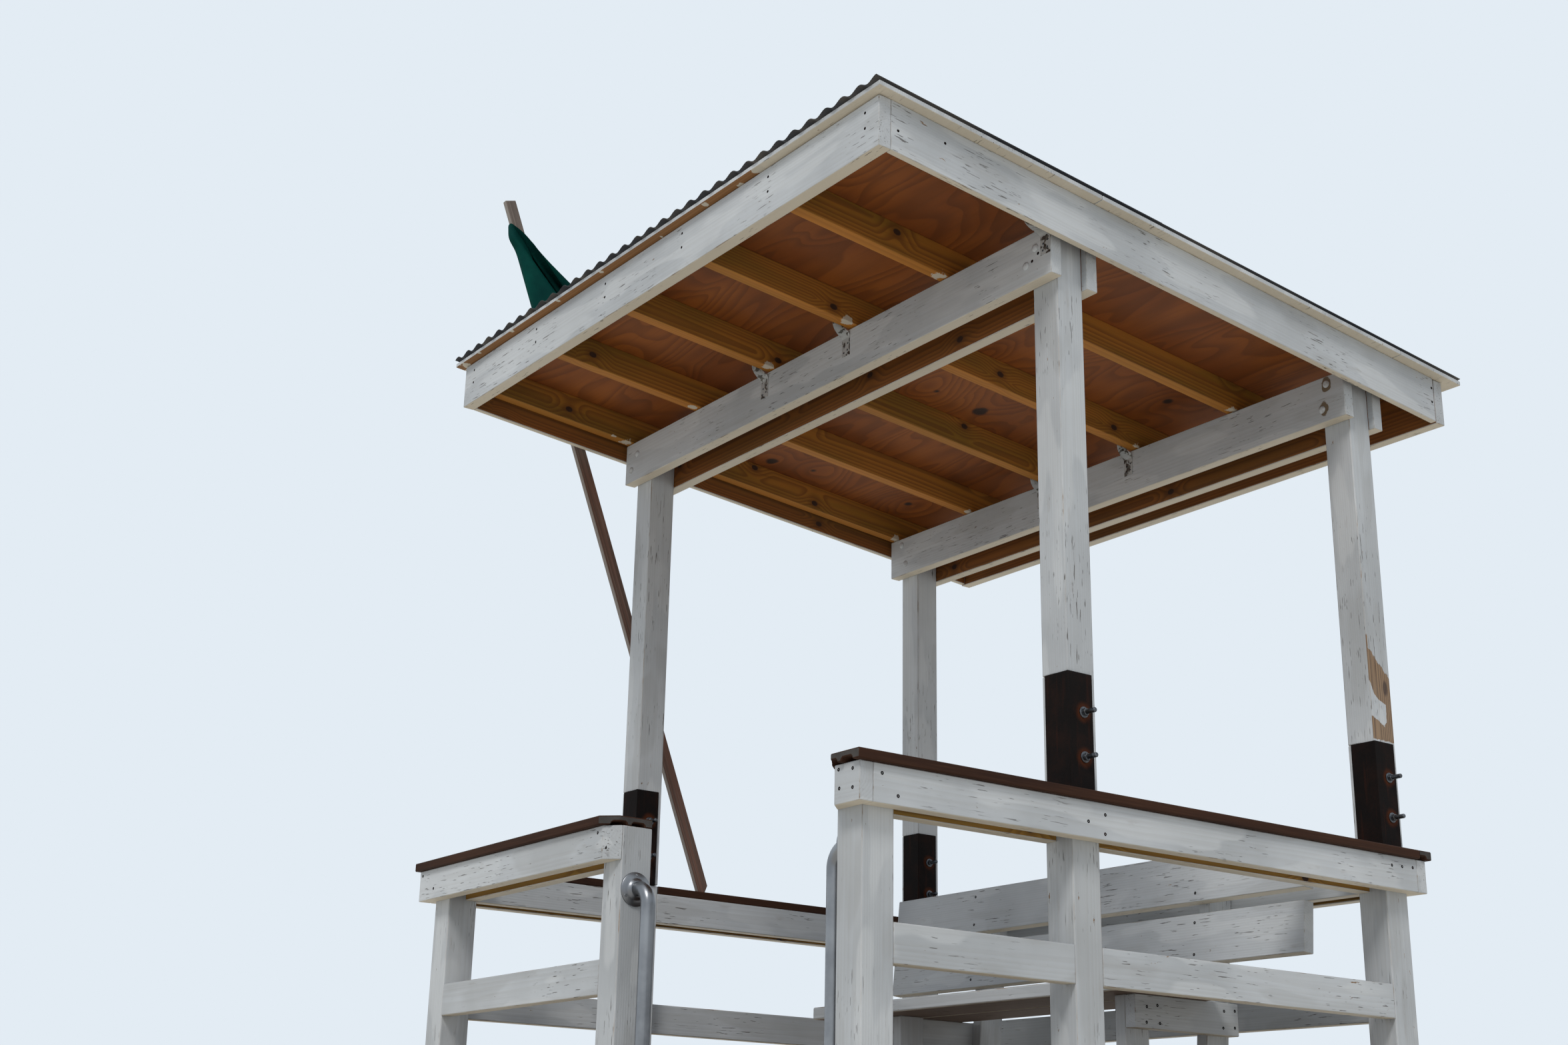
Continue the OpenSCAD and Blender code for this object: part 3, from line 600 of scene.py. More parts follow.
def plywood_knots(tree):
    """A value that is lowest in the knots and PLY_KNOT_EDGE at their edges. A Voronoi texture sets
    the knots that fall by chance, and the others are set by their places and radii in metres."""
    sheet = add(tree, "ShaderNodeVectorMath", (on_board(tree), PLY_KNOT_CELLS), operation="MULTIPLY")
    knots = add(tree, "ShaderNodeTexVoronoi", {"Vector": sheet, "Scale": 1.0})
    here = add(tree, "ShaderNodeTexCoord", out="Object")
    flat = add(tree, "ShaderNodeVectorMath", (here, (PLY_KNOT_DRAWN_OUT, 1, 0)), operation="MULTIPLY")
    ragged = patches(tree, 30.0, 2.0)
    for x, y, radius in PLY_KNOTS:
        away = ragged_distance(tree, flat, (PLY_KNOT_DRAWN_OUT * x, y, 0), ragged, 0.6 * radius)
        shift = PLY_KNOT_EDGE - PLY_KNOT_REACH * 1.3 * radius
        knot = add(tree, "ShaderNodeMath", (away, PLY_KNOT_REACH, shift), operation="MULTIPLY_ADD")
        knots = add(tree, "ShaderNodeMath", (knots, knot), operation="MINIMUM")
    return knots


def plywood_face():
    """The bare underside of exterior pine plywood."""
    material, tree, skin = new_finish("exterior pine plywood, bare")
    knots = plywood_knots(tree)
    swell = add(tree, "ShaderNodeMapRange", (knots, 0.02, 0.3, 1.0, 0.0), **EASED)
    field = grain(tree, 0.8, 3.0, 2.0, 0.45, 0.5)
    field = add(tree, "ShaderNodeMath", (swell, 0.16, field), operation="MULTIPLY_ADD")
    turn = add(tree, "ShaderNodeMath", (field, 20.0), operation="MULTIPLY")
    turn = add(tree, "ShaderNodeMath", (turn,), operation="FRACT")
    rise = add(tree, "ShaderNodeMapRange", (turn, 0.15, 0.9), **EASED)
    fall = add(tree, "ShaderNodeMapRange", (turn, 0.9, 1.0, 1.0, 0.0), **EASED)
    line = add(tree, "ShaderNodeMath", (rise, fall), operation="MULTIPLY")
    fibres = grain(tree, 2.5, 80.0)
    colour = stain(tree, "#985417", "#7c4010", grain(tree, 1.3, 2.86, 4.0), 0.33, 0.68)
    colour = coat(tree, colour, "#562b09", line, 0.45)
    colour = stain(tree, colour, "#6a3a12", fibres, 0.48, 0.72, 0.0, 0.3)
    colour = stain(tree, colour, "#2b170d", knots, 0.03, 0.05, 1.0, 0.0)
    height = add(tree, "ShaderNodeMath", (line, fibres), operation="ADD")
    bump = add(tree, "ShaderNodeBump", {"Height": height, "Distance": 0.3 * MM})
    connect(tree, skin, {"Base Color": colour, "Roughness": 0.66, "Normal": bump})
    return material


plywood = plywood_face()
print(plywood.name, "with", len(PLY_KNOTS), "knots set by hand")

# %% [markdown]
# ## Composite boards
# Caps and decking are wood and plastic composite, extruded with a brushed, faintly streaked face:
# matt chocolate brown. Cut ends have faded to grey.


# %% Composite
def composite_board(name, base, streak):
    """Extruded wood and plastic composite."""
    material, tree, skin = new_finish(name)
    brushed = grain(tree, 8.0, 420.0, 2.0)
    colour = stain(tree, base, streak, grain(tree, 1.6, 14.0, 4.0), 0.35, 0.68)
    colour = stain(tree, colour, "#563a28", brushed, 0.5, 0.75, 0.0, 0.3)
    bump = add(tree, "ShaderNodeBump", {"Height": brushed, "Distance": 0.25 * MM})
    connect(tree, skin, {"Base Color": colour, "Roughness": 0.75, "Normal": bump})
    connect(tree, skin, {"Specular IOR Level": 0.15})
    return material


composite = composite_board("wood plastic composite, brushed", "#3d2518", "#2e1b12")
composite_end = composite_board("wood plastic composite, cut end", "#4d4a48", "#3a3836")
print(composite.name, "and", composite_end.name)

# %% [markdown]
# ## Metals
# The splice angles are mild steel gone nearly black with rust, fresher and more orange round their
# bolts. Ties are hot-dip galvanised, with dull spangle, and the bolts have weathered to a dark
# grey. The grab bars are stainless tube with a satin grind. The roofing is steel with a charcoal
# coil coating, chalky with dust. A bare metal keeps the shader's own IOR and takes its look from
# metallic and roughness.


# %% Metals
def rusted_steel(bolts_at):
    """Mild steel under an even coat of rust, which is an oxide and no metal to the eye. Round each
    bolt the rust is fresh and orange."""
    material, tree, skin = new_finish("mild steel, rusted brown")
    here = add(tree, "ShaderNodeTexCoord", out="Object")
    blooms = patches(tree, 16.0, 6.0, 0.65)
    colour = stain(tree, "#0e0908", "#1c0f0b", blooms, 0.42, 0.7)
    colour = stain(tree, colour, "#351a10", patches(tree, (60, 60, 5)), 0.56, 0.72, 0.0, 0.35)
    for centre in bolts_at:
        away = ragged_distance(tree, here, centre, blooms, 0.02)
        colour = stain(tree, colour, "#5a2c12", away, 1.3 * MARK_RADIUS, 2.4 * MARK_RADIUS, 0.6, 0.0)
    bump = add(tree, "ShaderNodeBump", {"Height": patches(tree, 180.0), "Distance": 0.5 * MM})
    connect(tree, skin, {"Base Color": colour, "Roughness": 0.86, "Normal": bump})
    connect(tree, skin, {"Specular IOR Level": 0.15})
    return material


METALLIC_ZINC = 0.85


def galvanised_steel(name, bright, dull, brushed_over=0.0):
    """Zinc that has dulled, with crystals about 8 mm wide. brushed_over is how much of it a paint
    brush has whitened."""
    material, tree, skin = new_finish(name)
    here = add(tree, "ShaderNodeTexCoord", out="Object")
    spangle = add(tree, "ShaderNodeTexVoronoi", {"Vector": here, "Scale": 120.0}, "Color")
    grey = add(tree, "ShaderNodeSeparateColor", (spangle,))
    colour = coat(tree, dull, bright, grey)
    colour = stain(tree, colour, "#4e4740", patches(tree, 34.0, 4.0), 0.52, 0.66, 0.0, 0.6)
    metal = METALLIC_ZINC
    if brushed_over:
        edge = 0.54 - 0.16 * brushed_over
        white = add(tree, "ShaderNodeMapRange", (patches(tree, 48.0), edge, edge + 0.04), **EASED)
        colour = coat(tree, colour, "#b4b6b6", white, 0.8)
        metal = add(tree, "ShaderNodeMath", (white, -0.75, METALLIC_ZINC), operation="MULTIPLY_ADD")
    roughness = add(tree, "ShaderNodeMapRange", (grey, 0.0, 1.0, 0.38, 0.55), **EASED)
    bump = add(tree, "ShaderNodeBump", {"Height": grey, "Distance": 0.08 * MM})
    connect(tree, skin, {"Base Color": colour, "Metallic": metal, "Roughness": roughness, "Normal": bump})
    return material


def satin_stainless():
    """Stainless tube, ground round its girth to a satin finish."""
    material, tree, skin = new_finish("stainless steel, satin ground")
    lines = patches(tree, (30, 30, 900), 2.0)
    colour = stain(tree, "#96989b", "#7e8084", patches(tree, 9.0, 4.0), 0.35, 0.7)
    roughness = add(tree, "ShaderNodeMapRange", (lines, 0.3, 0.7, 0.3, 0.38), **EASED)
    bump = add(tree, "ShaderNodeBump", {"Height": lines, "Distance": 0.008 * MM})
    connect(tree, skin, {"Base Color": colour, "Metallic": 1.0, "Roughness": roughness, "Normal": bump})
    return material


def coated_sheet():
    """Charcoal coil-coated roofing steel, with a brown grey bloom of dust and salt."""
    material, tree, skin = new_finish("roofing steel, charcoal coil coating")
    dust = patches(tree, (14, 1.6, 14), 5.0, 0.6)
    colour = stain(tree, "#33353a", "#57534f", dust, 0.4, 0.68)
    roughness = add(tree, "ShaderNodeMapRange", (dust, 0.35, 0.65, 0.52, 0.7), **EASED)
    bump = add(tree, "ShaderNodeBump", {"Height": dust, "Distance": 0.1 * MM})
    connect(tree, skin, {"Base Color": colour, "Roughness": roughness, "Normal": bump})
    connect(tree, skin, {"Specular IOR Level": 0.3})
    return material


BOLT_WASHER_RADIUS = 16 * MM
angle_wall = high("splice_angles").x - high("mid_right_post").x
bolt_low, bolt_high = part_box("splice_bolts")
splice_bolts_at = []
for post_name in ("mid_left_post", "mid_right_post", "back_left_post", "back_right_post"):
    post_low, post_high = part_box(post_name)
    for z in (bolt_low.z + BOLT_WASHER_RADIUS, bolt_high.z - BOLT_WASHER_RADIUS):
        splice_bolts_at.append((post_high.x + angle_wall, (post_low.y + post_high.y) / 2, z))
rust = rusted_steel(splice_bolts_at)
zinc = galvanised_steel("steel, hot-dip galvanised", "#b0b3b3", "#8b8f91")
dull_zinc = galvanised_steel("steel, galvanised and weathered dark", "#6a6e73", "#4a4e54")
strap_zinc = galvanised_steel("sheet steel, galvanised, brushed over", "#85847f", "#5c5a55", 0.6)
stainless = satin_stainless()
charcoal = coated_sheet()
print(rust.name, zinc.name, dull_zinc.name, stainless.name, charcoal.name, sep="; ")

# %% [markdown]
# ## Grey wood and flag cloth
# The flag's board is untreated pine left out for years: silver brown above the roof and on its
# narrow front, red brown where the roof shelters it, with raised rings. The flag is woven nylon,
# dark green going to teal, with a faint shine across the folds. Its weave is about 0.3 mm, too fine
# to show, so it is drawn at 1.5 mm.


# %% Grey wood and flag cloth
def grey_wood(sheltered):
    """Bare pine, gone grey in the weather and still red brown below the height sheltered."""
    material, tree, skin = new_finish("pine, weathered grey")
    here = add(tree, "ShaderNodeTexCoord", out="Object")
    height = add(tree, "ShaderNodeSeparateXYZ", (here,), "Z")
    rings = growth_rings(tree, 5.0, 8.0)
    fibres = grain(tree, 4.0, 240.0)
    colour = stain(tree, "#7d7067", "#665a52", grain(tree, 2.0, 12.0, 4.0), 0.35, 0.68)
    colour = stain(tree, colour, "#7c5342", height, sheltered, sheltered - 0.3, 0.0, 0.75)
    colour = stain(tree, colour, "#a8a39d", looks_along(tree, "Y"), -0.5, -0.9, 0.0, 0.75)
    colour = coat(tree, colour, "#4d423a", rings, 0.5)
    colour = stain(tree, colour, "#93877c", fibres, 0.5, 0.72, 0.0, 0.35)
    relief = add(tree, "ShaderNodeMath", (rings, fibres), operation="ADD")
    bump = add(tree, "ShaderNodeBump", {"Height": relief, "Distance": 0.5 * MM})
    connect(tree, skin, {"Base Color": colour, "Roughness": 0.8, "Normal": bump})
    return material


WEAVE_MM = 1.5


def flag_nylon():
    """Woven nylon, read along the cloth's own two directions."""
    material, tree, skin = new_finish("nylon flag cloth, woven")
    cloth = add(tree, "ShaderNodeUVMap", uv_map="cloth")
    warp = {"Vector": cloth, "Scale": 1 / (math.pi * WEAVE_MM * MM)}
    threads = add(tree, "ShaderNodeTexWave", warp, 1, bands_direction="X")
    crossed = add(tree, "ShaderNodeTexWave", warp, 1, bands_direction="Y")
    weave = add(tree, "ShaderNodeMath", (threads, crossed), operation="MULTIPLY")
    sockets = {"Vector": cloth, "Scale": 7.0, "Detail": 4.0, "Roughness": 0.55}
    colour = stain(tree, "#023734", "#044a41", add(tree, "ShaderNodeTexNoise", sockets), 0.35, 0.7)
    colour = coat(tree, colour, "#012a28", weave, 0.25)
    bump = add(tree, "ShaderNodeBump", {"Height": weave, "Distance": 0.15 * MM})
    connect(tree, skin, {"Base Color": colour, "Roughness": 0.75, "Normal": bump})
    connect(tree, skin, {"Specular IOR Level": 0.08})
    return material


silvered = grey_wood(high("fascia_boards").z)
nylon = flag_nylon()
print(silvered.name, "and", nylon.name)

# %% [markdown]
# ## Posts
# The posts are square lumber with eased edges. Each CAD post is copied, its triangles are joined,
# and its long edges are rounded with a bevel, because the light that catches a rounded edge is
# what tells the eye that this is planed wood. The back right roof post has lost its paint above
# the splice, down its right face, and gets the same paint with a bare part. The part's edges are
# set in metres above the splice, and a pattern makes them ragged.


# %% Posts
scarred_post = "roof_post_back_right"
SCAR_LEFT = 0.268
SCAR_RIGHT = 0.187
ISLAND_REACH = ((0.05, 0.05), (0.06, 0.062), (0.11, 0.064), (0.12, 0.036), (0.135, 0.016), (0.173, 0))
ISLAND_FOOT = 0.072
SCAR_KNOT_AT = (0.066, 0.158)
SCAR_KNOT_RADIUS = 0.0095
SCAR_KNOT_SQUEEZE = 0.45
CHIP_TOP = 0.307
CHIP_FOOT = 0.23
TALLEST = 0.25
WIDEST = 0.1


def past_edge(tree, distance, edge, pattern, by, soft=2 * MM):
    """From 0 to 1 as a distance passes an edge, made ragged by a pattern times a share."""
    distance = add(tree, "ShaderNodeMath", (pattern, by, distance), operation="MULTIPLY_ADD")
    return add(tree, "ShaderNodeMapRange", (distance, edge, edge + soft), **EASED)


def painted_island(tree, over, rise, ragged):
    """1 on the patch of paint that reaches in from the left edge of the bare part. ISLAND_REACH
    gives how far in it reaches, at heights above the splice. The ramp that draws it has TALLEST
    for its length and WIDEST for its white."""
    stops = [(z / TALLEST, (reach / WIDEST,) * 3 + (1,)) for z, reach in ISLAND_REACH]
    height = add(tree, "ShaderNodeMath", (rise, TALLEST), operation="DIVIDE")
    reach = add(tree, "ShaderNodeValToRGB", (height,), stops=stops)
    reach = add(tree, "ShaderNodeMath", (reach, WIDEST), operation="MULTIPLY")
    within = add(tree, "ShaderNodeMath", (reach, over), operation="SUBTRACT")
    foot = add(tree, "ShaderNodeMath", (over, -0.5, ISLAND_FOOT), operation="MULTIPLY_ADD")
    above = add(tree, "ShaderNodeMath", (rise, foot), operation="SUBTRACT")
    within = past_edge(tree, within, -0.009, ragged, -0.016)
    above = past_edge(tree, above, -0.011, ragged, -0.02)
    return add(tree, "ShaderNodeMath", (within, above), operation="MULTIPLY")


def scar(tree, here, wood):
    """The bare part of the scarred post and its wood. It fills the right face up to a slanting
    edge, but for the painted island, runs on in a chip up the corner, and has one dark knot."""
    apart = add(tree, "ShaderNodeSeparateXYZ", (here,), None).outputs
    over = add(tree, "ShaderNodeMath", (apart["Y"], low(scarred_post).y), operation="SUBTRACT")
    rise = add(tree, "ShaderNodeMath", (apart["Z"], high("splice_angles").z), operation="SUBTRACT")
    ragged = grain(tree, 16.0, 60.0, 4.0, 0.7)
    slope = (SCAR_RIGHT - SCAR_LEFT) / post
    slant = add(tree, "ShaderNodeMath", (over, slope, SCAR_LEFT), operation="MULTIPLY_ADD")
    below = add(tree, "ShaderNodeMath", (slant, rise), operation="SUBTRACT")
    bare = past_edge(tree, below, 0.025, ragged, 0.05)
    island = painted_island(tree, over, rise, ragged)
    peeled = add(tree, "ShaderNodeMath", (1.0, island), operation="SUBTRACT")
    bare = add(tree, "ShaderNodeMath", (bare, peeled), operation="MULTIPLY")

    before = add(tree, "ShaderNodeMath", (over, -1.0), operation="MULTIPLY")
    chip = past_edge(tree, before, -0.0095, ragged, -0.012, MM)
    for limit, full in ((CHIP_TOP, CHIP_TOP - 7 * MM), (CHIP_FOOT, CHIP_FOOT + 10 * MM)):
        end = add(tree, "ShaderNodeMapRange", (rise, limit, full), **EASED)
        chip = add(tree, "ShaderNodeMath", (chip, end), operation="MULTIPLY")
    bare = add(tree, "ShaderNodeMath", (bare, chip), operation="MAXIMUM")
    lip = past_edge(tree, rise, -0.005, ragged, -0.02)
    bare = add(tree, "ShaderNodeMath", (bare, lip), operation="MULTIPLY")
    sideways = add(tree, "ShaderNodeMapRange", (looks_along(tree, "X"), 0.3, 0.6), **EASED)
    bare = add(tree, "ShaderNodeMath", (bare, sideways), operation="MULTIPLY")

    squeezed = add(tree, "ShaderNodeMath", (rise, SCAR_KNOT_SQUEEZE), operation="MULTIPLY")
    flat = add(tree, "ShaderNodeCombineXYZ", (over, squeezed))
    centre = (SCAR_KNOT_AT[0], SCAR_KNOT_SQUEEZE * SCAR_KNOT_AT[1], 0)
    away = add(tree, "ShaderNodeVectorMath", (flat, centre), "Value", operation="DISTANCE")
    wood = stain(tree, wood, "#857059", ragged, 0.35, 0.65, 0.0, 0.5)
    knot_edges = (0.7 * SCAR_KNOT_RADIUS, 1.3 * SCAR_KNOT_RADIUS)
    return bare, stain(tree, wood, "#3a261b", away, *knot_edges, 0.85, 0.0)


scarred = white_paint("weathered white acrylic paint, flaked", scar)
posts = [name for name in nodes if name.endswith("_post") or name.startswith("roof_post")]
for name in sorted(posts):
    dressed(name, [scarred if name == scarred_post else paint], edge_mm=3)
print(len(posts), "posts, paint gone up to", SCAR_LEFT, "m above the splice")

# %% [markdown]
# ## Painted boards
# Rims, rails, braces, roof edge boards, bench and ladder are boards on the same rule. Where two
# boards clasp the posts, the painter only reached the outside, so the faces that look at each
# other between the boards stay bare and brown. A face is picked by its place: it lies between the
# two boards and looks straight across the gap. The bench seat has worn brown underneath, and one
# roof edge board was cut a little short, which leaves a dark gap at its end.


# %% Painted boards
CLEAR_OF_ENDS = 2 * MM
END_GAP = 3 * MM
NEAR_END = 5 * MM


def between(axis, start, end):
    """Picks the faces that look along an axis and lie between two places on it."""

    def pick(face):
        lies_between = start - MM < face.calc_center_median()[axis] < end + MM
        return 1 if lies_between and abs(face.normal[axis]) > 0.9 else 0

    return pick


def clasp(node, axis):
    """The gap between the two boards of a doubled rail or beam."""
    return between(axis, low(node)[axis] + board_t, high(node)[axis] - board_t)


def inside(axis, start, end):
    """Picks the faces that look along an axis from strictly inside two places on it."""
    return between(axis, start + CLEAR_OF_ENDS, end - CLEAR_OF_ENDS)


for name in ("side_rims", "end_rims", "leg_braces", "foot_rails", "bench_back", "bench_legs",
             "bench_cross_pieces", "ladder_stringers", "ladder_treads"):
    dressed(name, [paint])
dressed("bench_seat", [paint, brown_pine], edge_mm=5,
        pick=lambda face: int(face.normal.z < -0.9))
for name, axis in (("right_rail", 0), ("left_rail", 0), ("back_rail", 1), ("front_rail", 1)):
    dressed(name, [paint, rail_pine], pick=clasp(name, axis))
outer_faces = (low("mid_left_post").x, high("mid_right_post").x)


def between_posts(node):
    """The gap between a beam's two boards, but painted where it runs on past the posts."""
    hidden = clasp(node, 1)

    def pick(face):
        x = face.calc_center_median().x
        return hidden(face) if outer_faces[0] < x < outer_faces[1] else 0

    return pick


dressed("mid_beam", [paint, old_pine], cuts=outer_faces, pick=between_posts("mid_beam"))
back_coat = [marked_paint, old_pine]
dressed("back_beam", back_coat, cuts=outer_faces, pick=between_posts("back_beam"))
edge_boards = {}
for name, axis in (("fascia_boards", 1), ("rake_boards", 0)):
    inward = inside(axis, low(name)[axis], high(name)[axis])
    edge_boards[name] = dressed(name, [paint, old_pine], pick=inward)
for vert in edge_boards["rake_boards"].data.vertices:
    if vert.co.x > 0 and vert.co.y > high("rake_boards").y - NEAR_END:
        vert.co.y -= END_GAP
for name in ("rafters", "joists"):
    dressed(name, [pine])
dressed("flag_board", [silvered])
print("boards dressed, the right rake board ends", round(END_GAP / MM), "mm short of the back fascia")

# %% [markdown]
# ## Caps and decking
# The caps are deck boards laid on the rails. The underside of such a board is scalloped to save
# material, and two wide scallops show at each cut end, so they are cut into the solid with a
# Boolean: a cutter of two bars runs the length of the board. The top edges are rounded after that.

# %% Caps and decking
SCALLOPS = 2
SCALLOP_WIDE = 40 * MM
SCALLOP_DEEP = 9 * MM
SCALLOP_STEP = 54 * MM
BAR_SIDES = 16
BAR_FLATNESS = 1.6
BAR_RUNS_ON = 10 * MM


def scallop_bars(cap_low, cap_high, along_axis):
    """Flat-topped round bars under a cap, as one mesh, for the Boolean to take away."""
    across_axis = 1 - along_axis
    bm = bmesh.new()
    middle = (cap_low[across_axis] + cap_high[across_axis]) / 2
    for i in range(SCALLOPS):
        centre = middle + (i - (SCALLOPS - 1) / 2) * SCALLOP_STEP
        rings = []
        for end in (cap_low[along_axis] - BAR_RUNS_ON, cap_high[along_axis] + BAR_RUNS_ON):
            ring = []
            for k in range(BAR_SIDES):
                turn = 2 * math.pi * k / BAR_SIDES
                point = [0, 0, cap_low.z + SCALLOP_DEEP * min(BAR_FLATNESS * math.sin(turn), 1)]
                point[along_axis] = end
                point[across_axis] = centre + SCALLOP_WIDE / 2 * math.cos(turn)
                ring.append(bm.verts.new(point))
            rings.append(ring)
        for k in range(BAR_SIDES):
            bm.faces.new((rings[0][k], rings[0][k - 1], rings[1][k - 1], rings[1][k]))
        bm.faces.new(rings[0])
        bm.faces.new(rings[1][::-1])
    bmesh.ops.recalc_face_normals(bm, faces=bm.faces[:])
    mesh = bpy.data.meshes.new("scallop_bars")
    bm.to_mesh(mesh)
    bm.free()
    return bpy.data.objects.new("scallop_bars", mesh)


def scalloped(bm, bars):
    """The same solid with the bars taken out of it."""
    mesh = bpy.data.meshes.new("blank")
    bm.to_mesh(mesh)
    bm.free()
    blank = bpy.data.objects.new("blank", mesh)
    for part in (blank, bars):
        bpy.context.scene.collection.objects.link(part)
    cut = blank.modifiers.new("scallops", "BOOLEAN")
    cut.object = bars
    cut.operation = "DIFFERENCE"
    cut.solver = "EXACT"
    depsgraph = bpy.context.evaluated_depsgraph_get()
    carved = bpy.data.meshes.new_from_object(blank.evaluated_get(depsgraph), depsgraph=depsgraph)
    bm = bmesh.new()
    bm.from_mesh(carved)
    for part in (blank, bars):
        bpy.data.objects.remove(part)
    bmesh.ops.dissolve_limit(bm, angle_limit=FLAT, verts=bm.verts[:], edges=bm.edges[:])
    return bm


def cap(node, along_axis):
    """A railing cap with its scallops, eased edges and grey cut ends."""
    bm = scalloped(clean_copy(node), scallop_bars(low(node), high(node), along_axis))
    rounded = round_edges(bm, 3 * MM)
    mark_boards(bm, node, rounded)
    for face in bm.faces:
        upright_face = abs(face.normal.z) < 0.1
        face.material_index = 1 if upright_face and abs(face.normal[along_axis]) > 0.5 else 0
    return finished(f"{node}_dressed", bm, [composite, composite_end], [node])


for name, axis in (("right_cap", 1), ("left_cap", 1), ("back_cap", 0), ("front_cap", 0)):
    cap(name, axis)
dressed("deck_boards", [composite, composite_end], edge_mm=3,
        pick=lambda face: int(abs(face.normal.x) > 0.9))
print("caps", round((high("right_cap").z - low("right_cap").z) / MM), "mm thick, scallops",
      round(SCALLOP_DEEP / MM), "mm deep")

# %% [markdown]
# ## Roof deck
# Three strips of plywood lie across the rafters, with a thin joint between. Their underside is
# bare inside the roof's edge boards, and painted where it overhangs them, except along the front
# left, where the brush only left smears. So the solid is sawn at the joints, and its faces are
# scored along the edge boards, to be given their finishes by place.


# %% Roof deck
def sawn(bm, point, normal, keep_behind):
    """One side of a solid cut by a plane, closed again."""
    part = bm.copy()
    cut = bmesh.ops.bisect_plane(
        part, geom=part.verts[:] + part.edges[:] + part.faces[:], plane_co=point, plane_no=normal,
        clear_outer=keep_behind, clear_inner=not keep_behind)
    rim = [item for item in cut["geom_cut"] if isinstance(item, bmesh.types.BMEdge)]
    bmesh.ops.holes_fill(part, edges=rim)
    return part


JOINTS = [0.673, 1.892]
JOINT_GAP = 2 * MM
PLY_THICK = 13 * MM
PLY_EDGE = 1.2 * MM
BRUSHED_IN = 8 * MM
BROWN_END = -0.37
EDGE_SMEARS = ((0.0, 0.4, 0.03), (0.07, 0.9, 0.012), (0.2, 0.9, 0.014), (0.37, 0.8, 0.012),
               (0.52, 0.9, 0.016), (0.7, 0.3, 0.012), (0.84, 0.6, 0.016), (0.93, 0.2, 0.02),
               (0.99, 0.6, 0.04))
deck_low, deck_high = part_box("roof_deck")
edge_low = Vector((low("fascia_boards").x + BRUSHED_IN, low("fascia_boards").y + BRUSHED_IN, 0))
edge_high = Vector((high("fascia_boards").x - BRUSHED_IN, high("fascia_boards").y - BRUSHED_IN, 0))

strips = bmesh.new()
cuts = [deck_low.y - 1] + JOINTS + [deck_high.y + 1]
for start, end in zip(cuts, cuts[1:]):
    front_cut = sawn(clean_copy("roof_deck"), (0, start + JOINT_GAP / 2, 0), (0, 1, 0), False)
    strip = sawn(front_cut, (0, end - JOINT_GAP / 2, 0), (0, 1, 0), True)
    strip_mesh = bpy.data.meshes.new("strip")
    strip.to_mesh(strip_mesh)
    strips.from_mesh(strip_mesh)
bmesh.ops.recalc_face_normals(strips, faces=strips.faces[:])
round_edges(strips, PLY_EDGE, 1)
for point, normal in (((edge_low.x, 0, 0), (1, 0, 0)), ((edge_high.x, 0, 0), (1, 0, 0)),
                      ((BROWN_END, 0, 0), (1, 0, 0)), ((0, edge_low.y, 0), (0, 1, 0)),
                      ((0, edge_high.y, 0), (0, 1, 0))):
    everything = strips.verts[:] + strips.edges[:] + strips.faces[:]
    bmesh.ops.bisect_plane(strips, geom=everything, plane_co=point, plane_no=normal)
mark_boards(strips, "roof_deck")
for face in strips.faces:
    at = face.calc_center_median()
    overhangs = not (edge_low.x < at.x < edge_high.x and edge_low.y < at.y < edge_high.y)
    front_left = at.y < edge_low.y and at.x < BROWN_END and face.normal.z < -0.5
    bare_under = face.normal.z < -0.5 and not overhangs
    face.material_index = 1 if bare_under else 2 if front_left else 0
edge_smears = []
for along, out, size in EDGE_SMEARS:
    x = edge_low.x + (BROWN_END - edge_low.x) * along
    y = edge_low.y + (deck_low.y - edge_low.y) * out
    edge_smears.append(((x, y, deck_high.z - PLY_THICK), size))
smeared = bare_pine("plywood edge, smeared with paint",
                    "#8f6236", "#7a552c", "#573616", "#95683a", edge_smears)
finished("roof_deck_dressed", strips, [paint, plywood, smeared], ["roof_deck"])
print("plywood strips", [round(b - a, 2) for a, b in zip(cuts, cuts[1:])])

# %% [markdown]
# ## Geometry Nodes, run once
# Roofing waves, tubes and fasteners follow rules, so trees of Geometry Nodes make them. Each tree
# has named inputs for its sizes. It is run on a small mesh, the result is kept as a plain mesh, and
# the modifier goes, so that what is left is ordinary geometry.


# %% Running a tree
def new_tree(name, inputs):
    """An empty tree with named inputs after the geometry. Gives the tree and its inputs."""
    tree = bpy.data.node_groups.new(name, "GeometryNodeTree")
    tree.interface.new_socket("Geometry", in_out="INPUT", socket_type="NodeSocketGeometry")
    for label, kind in inputs.items():
        tree.interface.new_socket(label, in_out="INPUT", socket_type=f"NodeSocket{kind}")
    tree.interface.new_socket("Geometry", in_out="OUTPUT", socket_type="NodeSocketGeometry")
    return tree, add(tree, "NodeGroupInput", out=None).outputs


def end_tree(tree, shape, finish):
    """Makes the instances real and gives them their finish."""
    real = add(tree, "GeometryNodeRealizeInstances", (shape,))
    coated = add(tree, "GeometryNodeSetMaterial", {"Geometry": real, "Material": finish})
    add(tree, "NodeGroupOutput", (coated,), None)


def run_tree(tree, source, values):
    """The mesh that a tree makes from a source mesh with these values."""
    carrier = bpy.data.objects.new("carrier", source)
    bpy.context.scene.collection.objects.link(carrier)
    step = carrier.modifiers.new("tree", "NODES")
    step.node_group = tree
    for item in tree.interface.items_tree:
        if item.in_out == "INPUT" and item.name in values:
            step[item.identifier] = values[item.name]
    depsgraph = bpy.context.evaluated_depsgraph_get()
    made = bpy.data.meshes.new_from_object(carrier.evaluated_get(depsgraph), depsgraph=depsgraph)
    bpy.data.objects.remove(carrier)
    return made


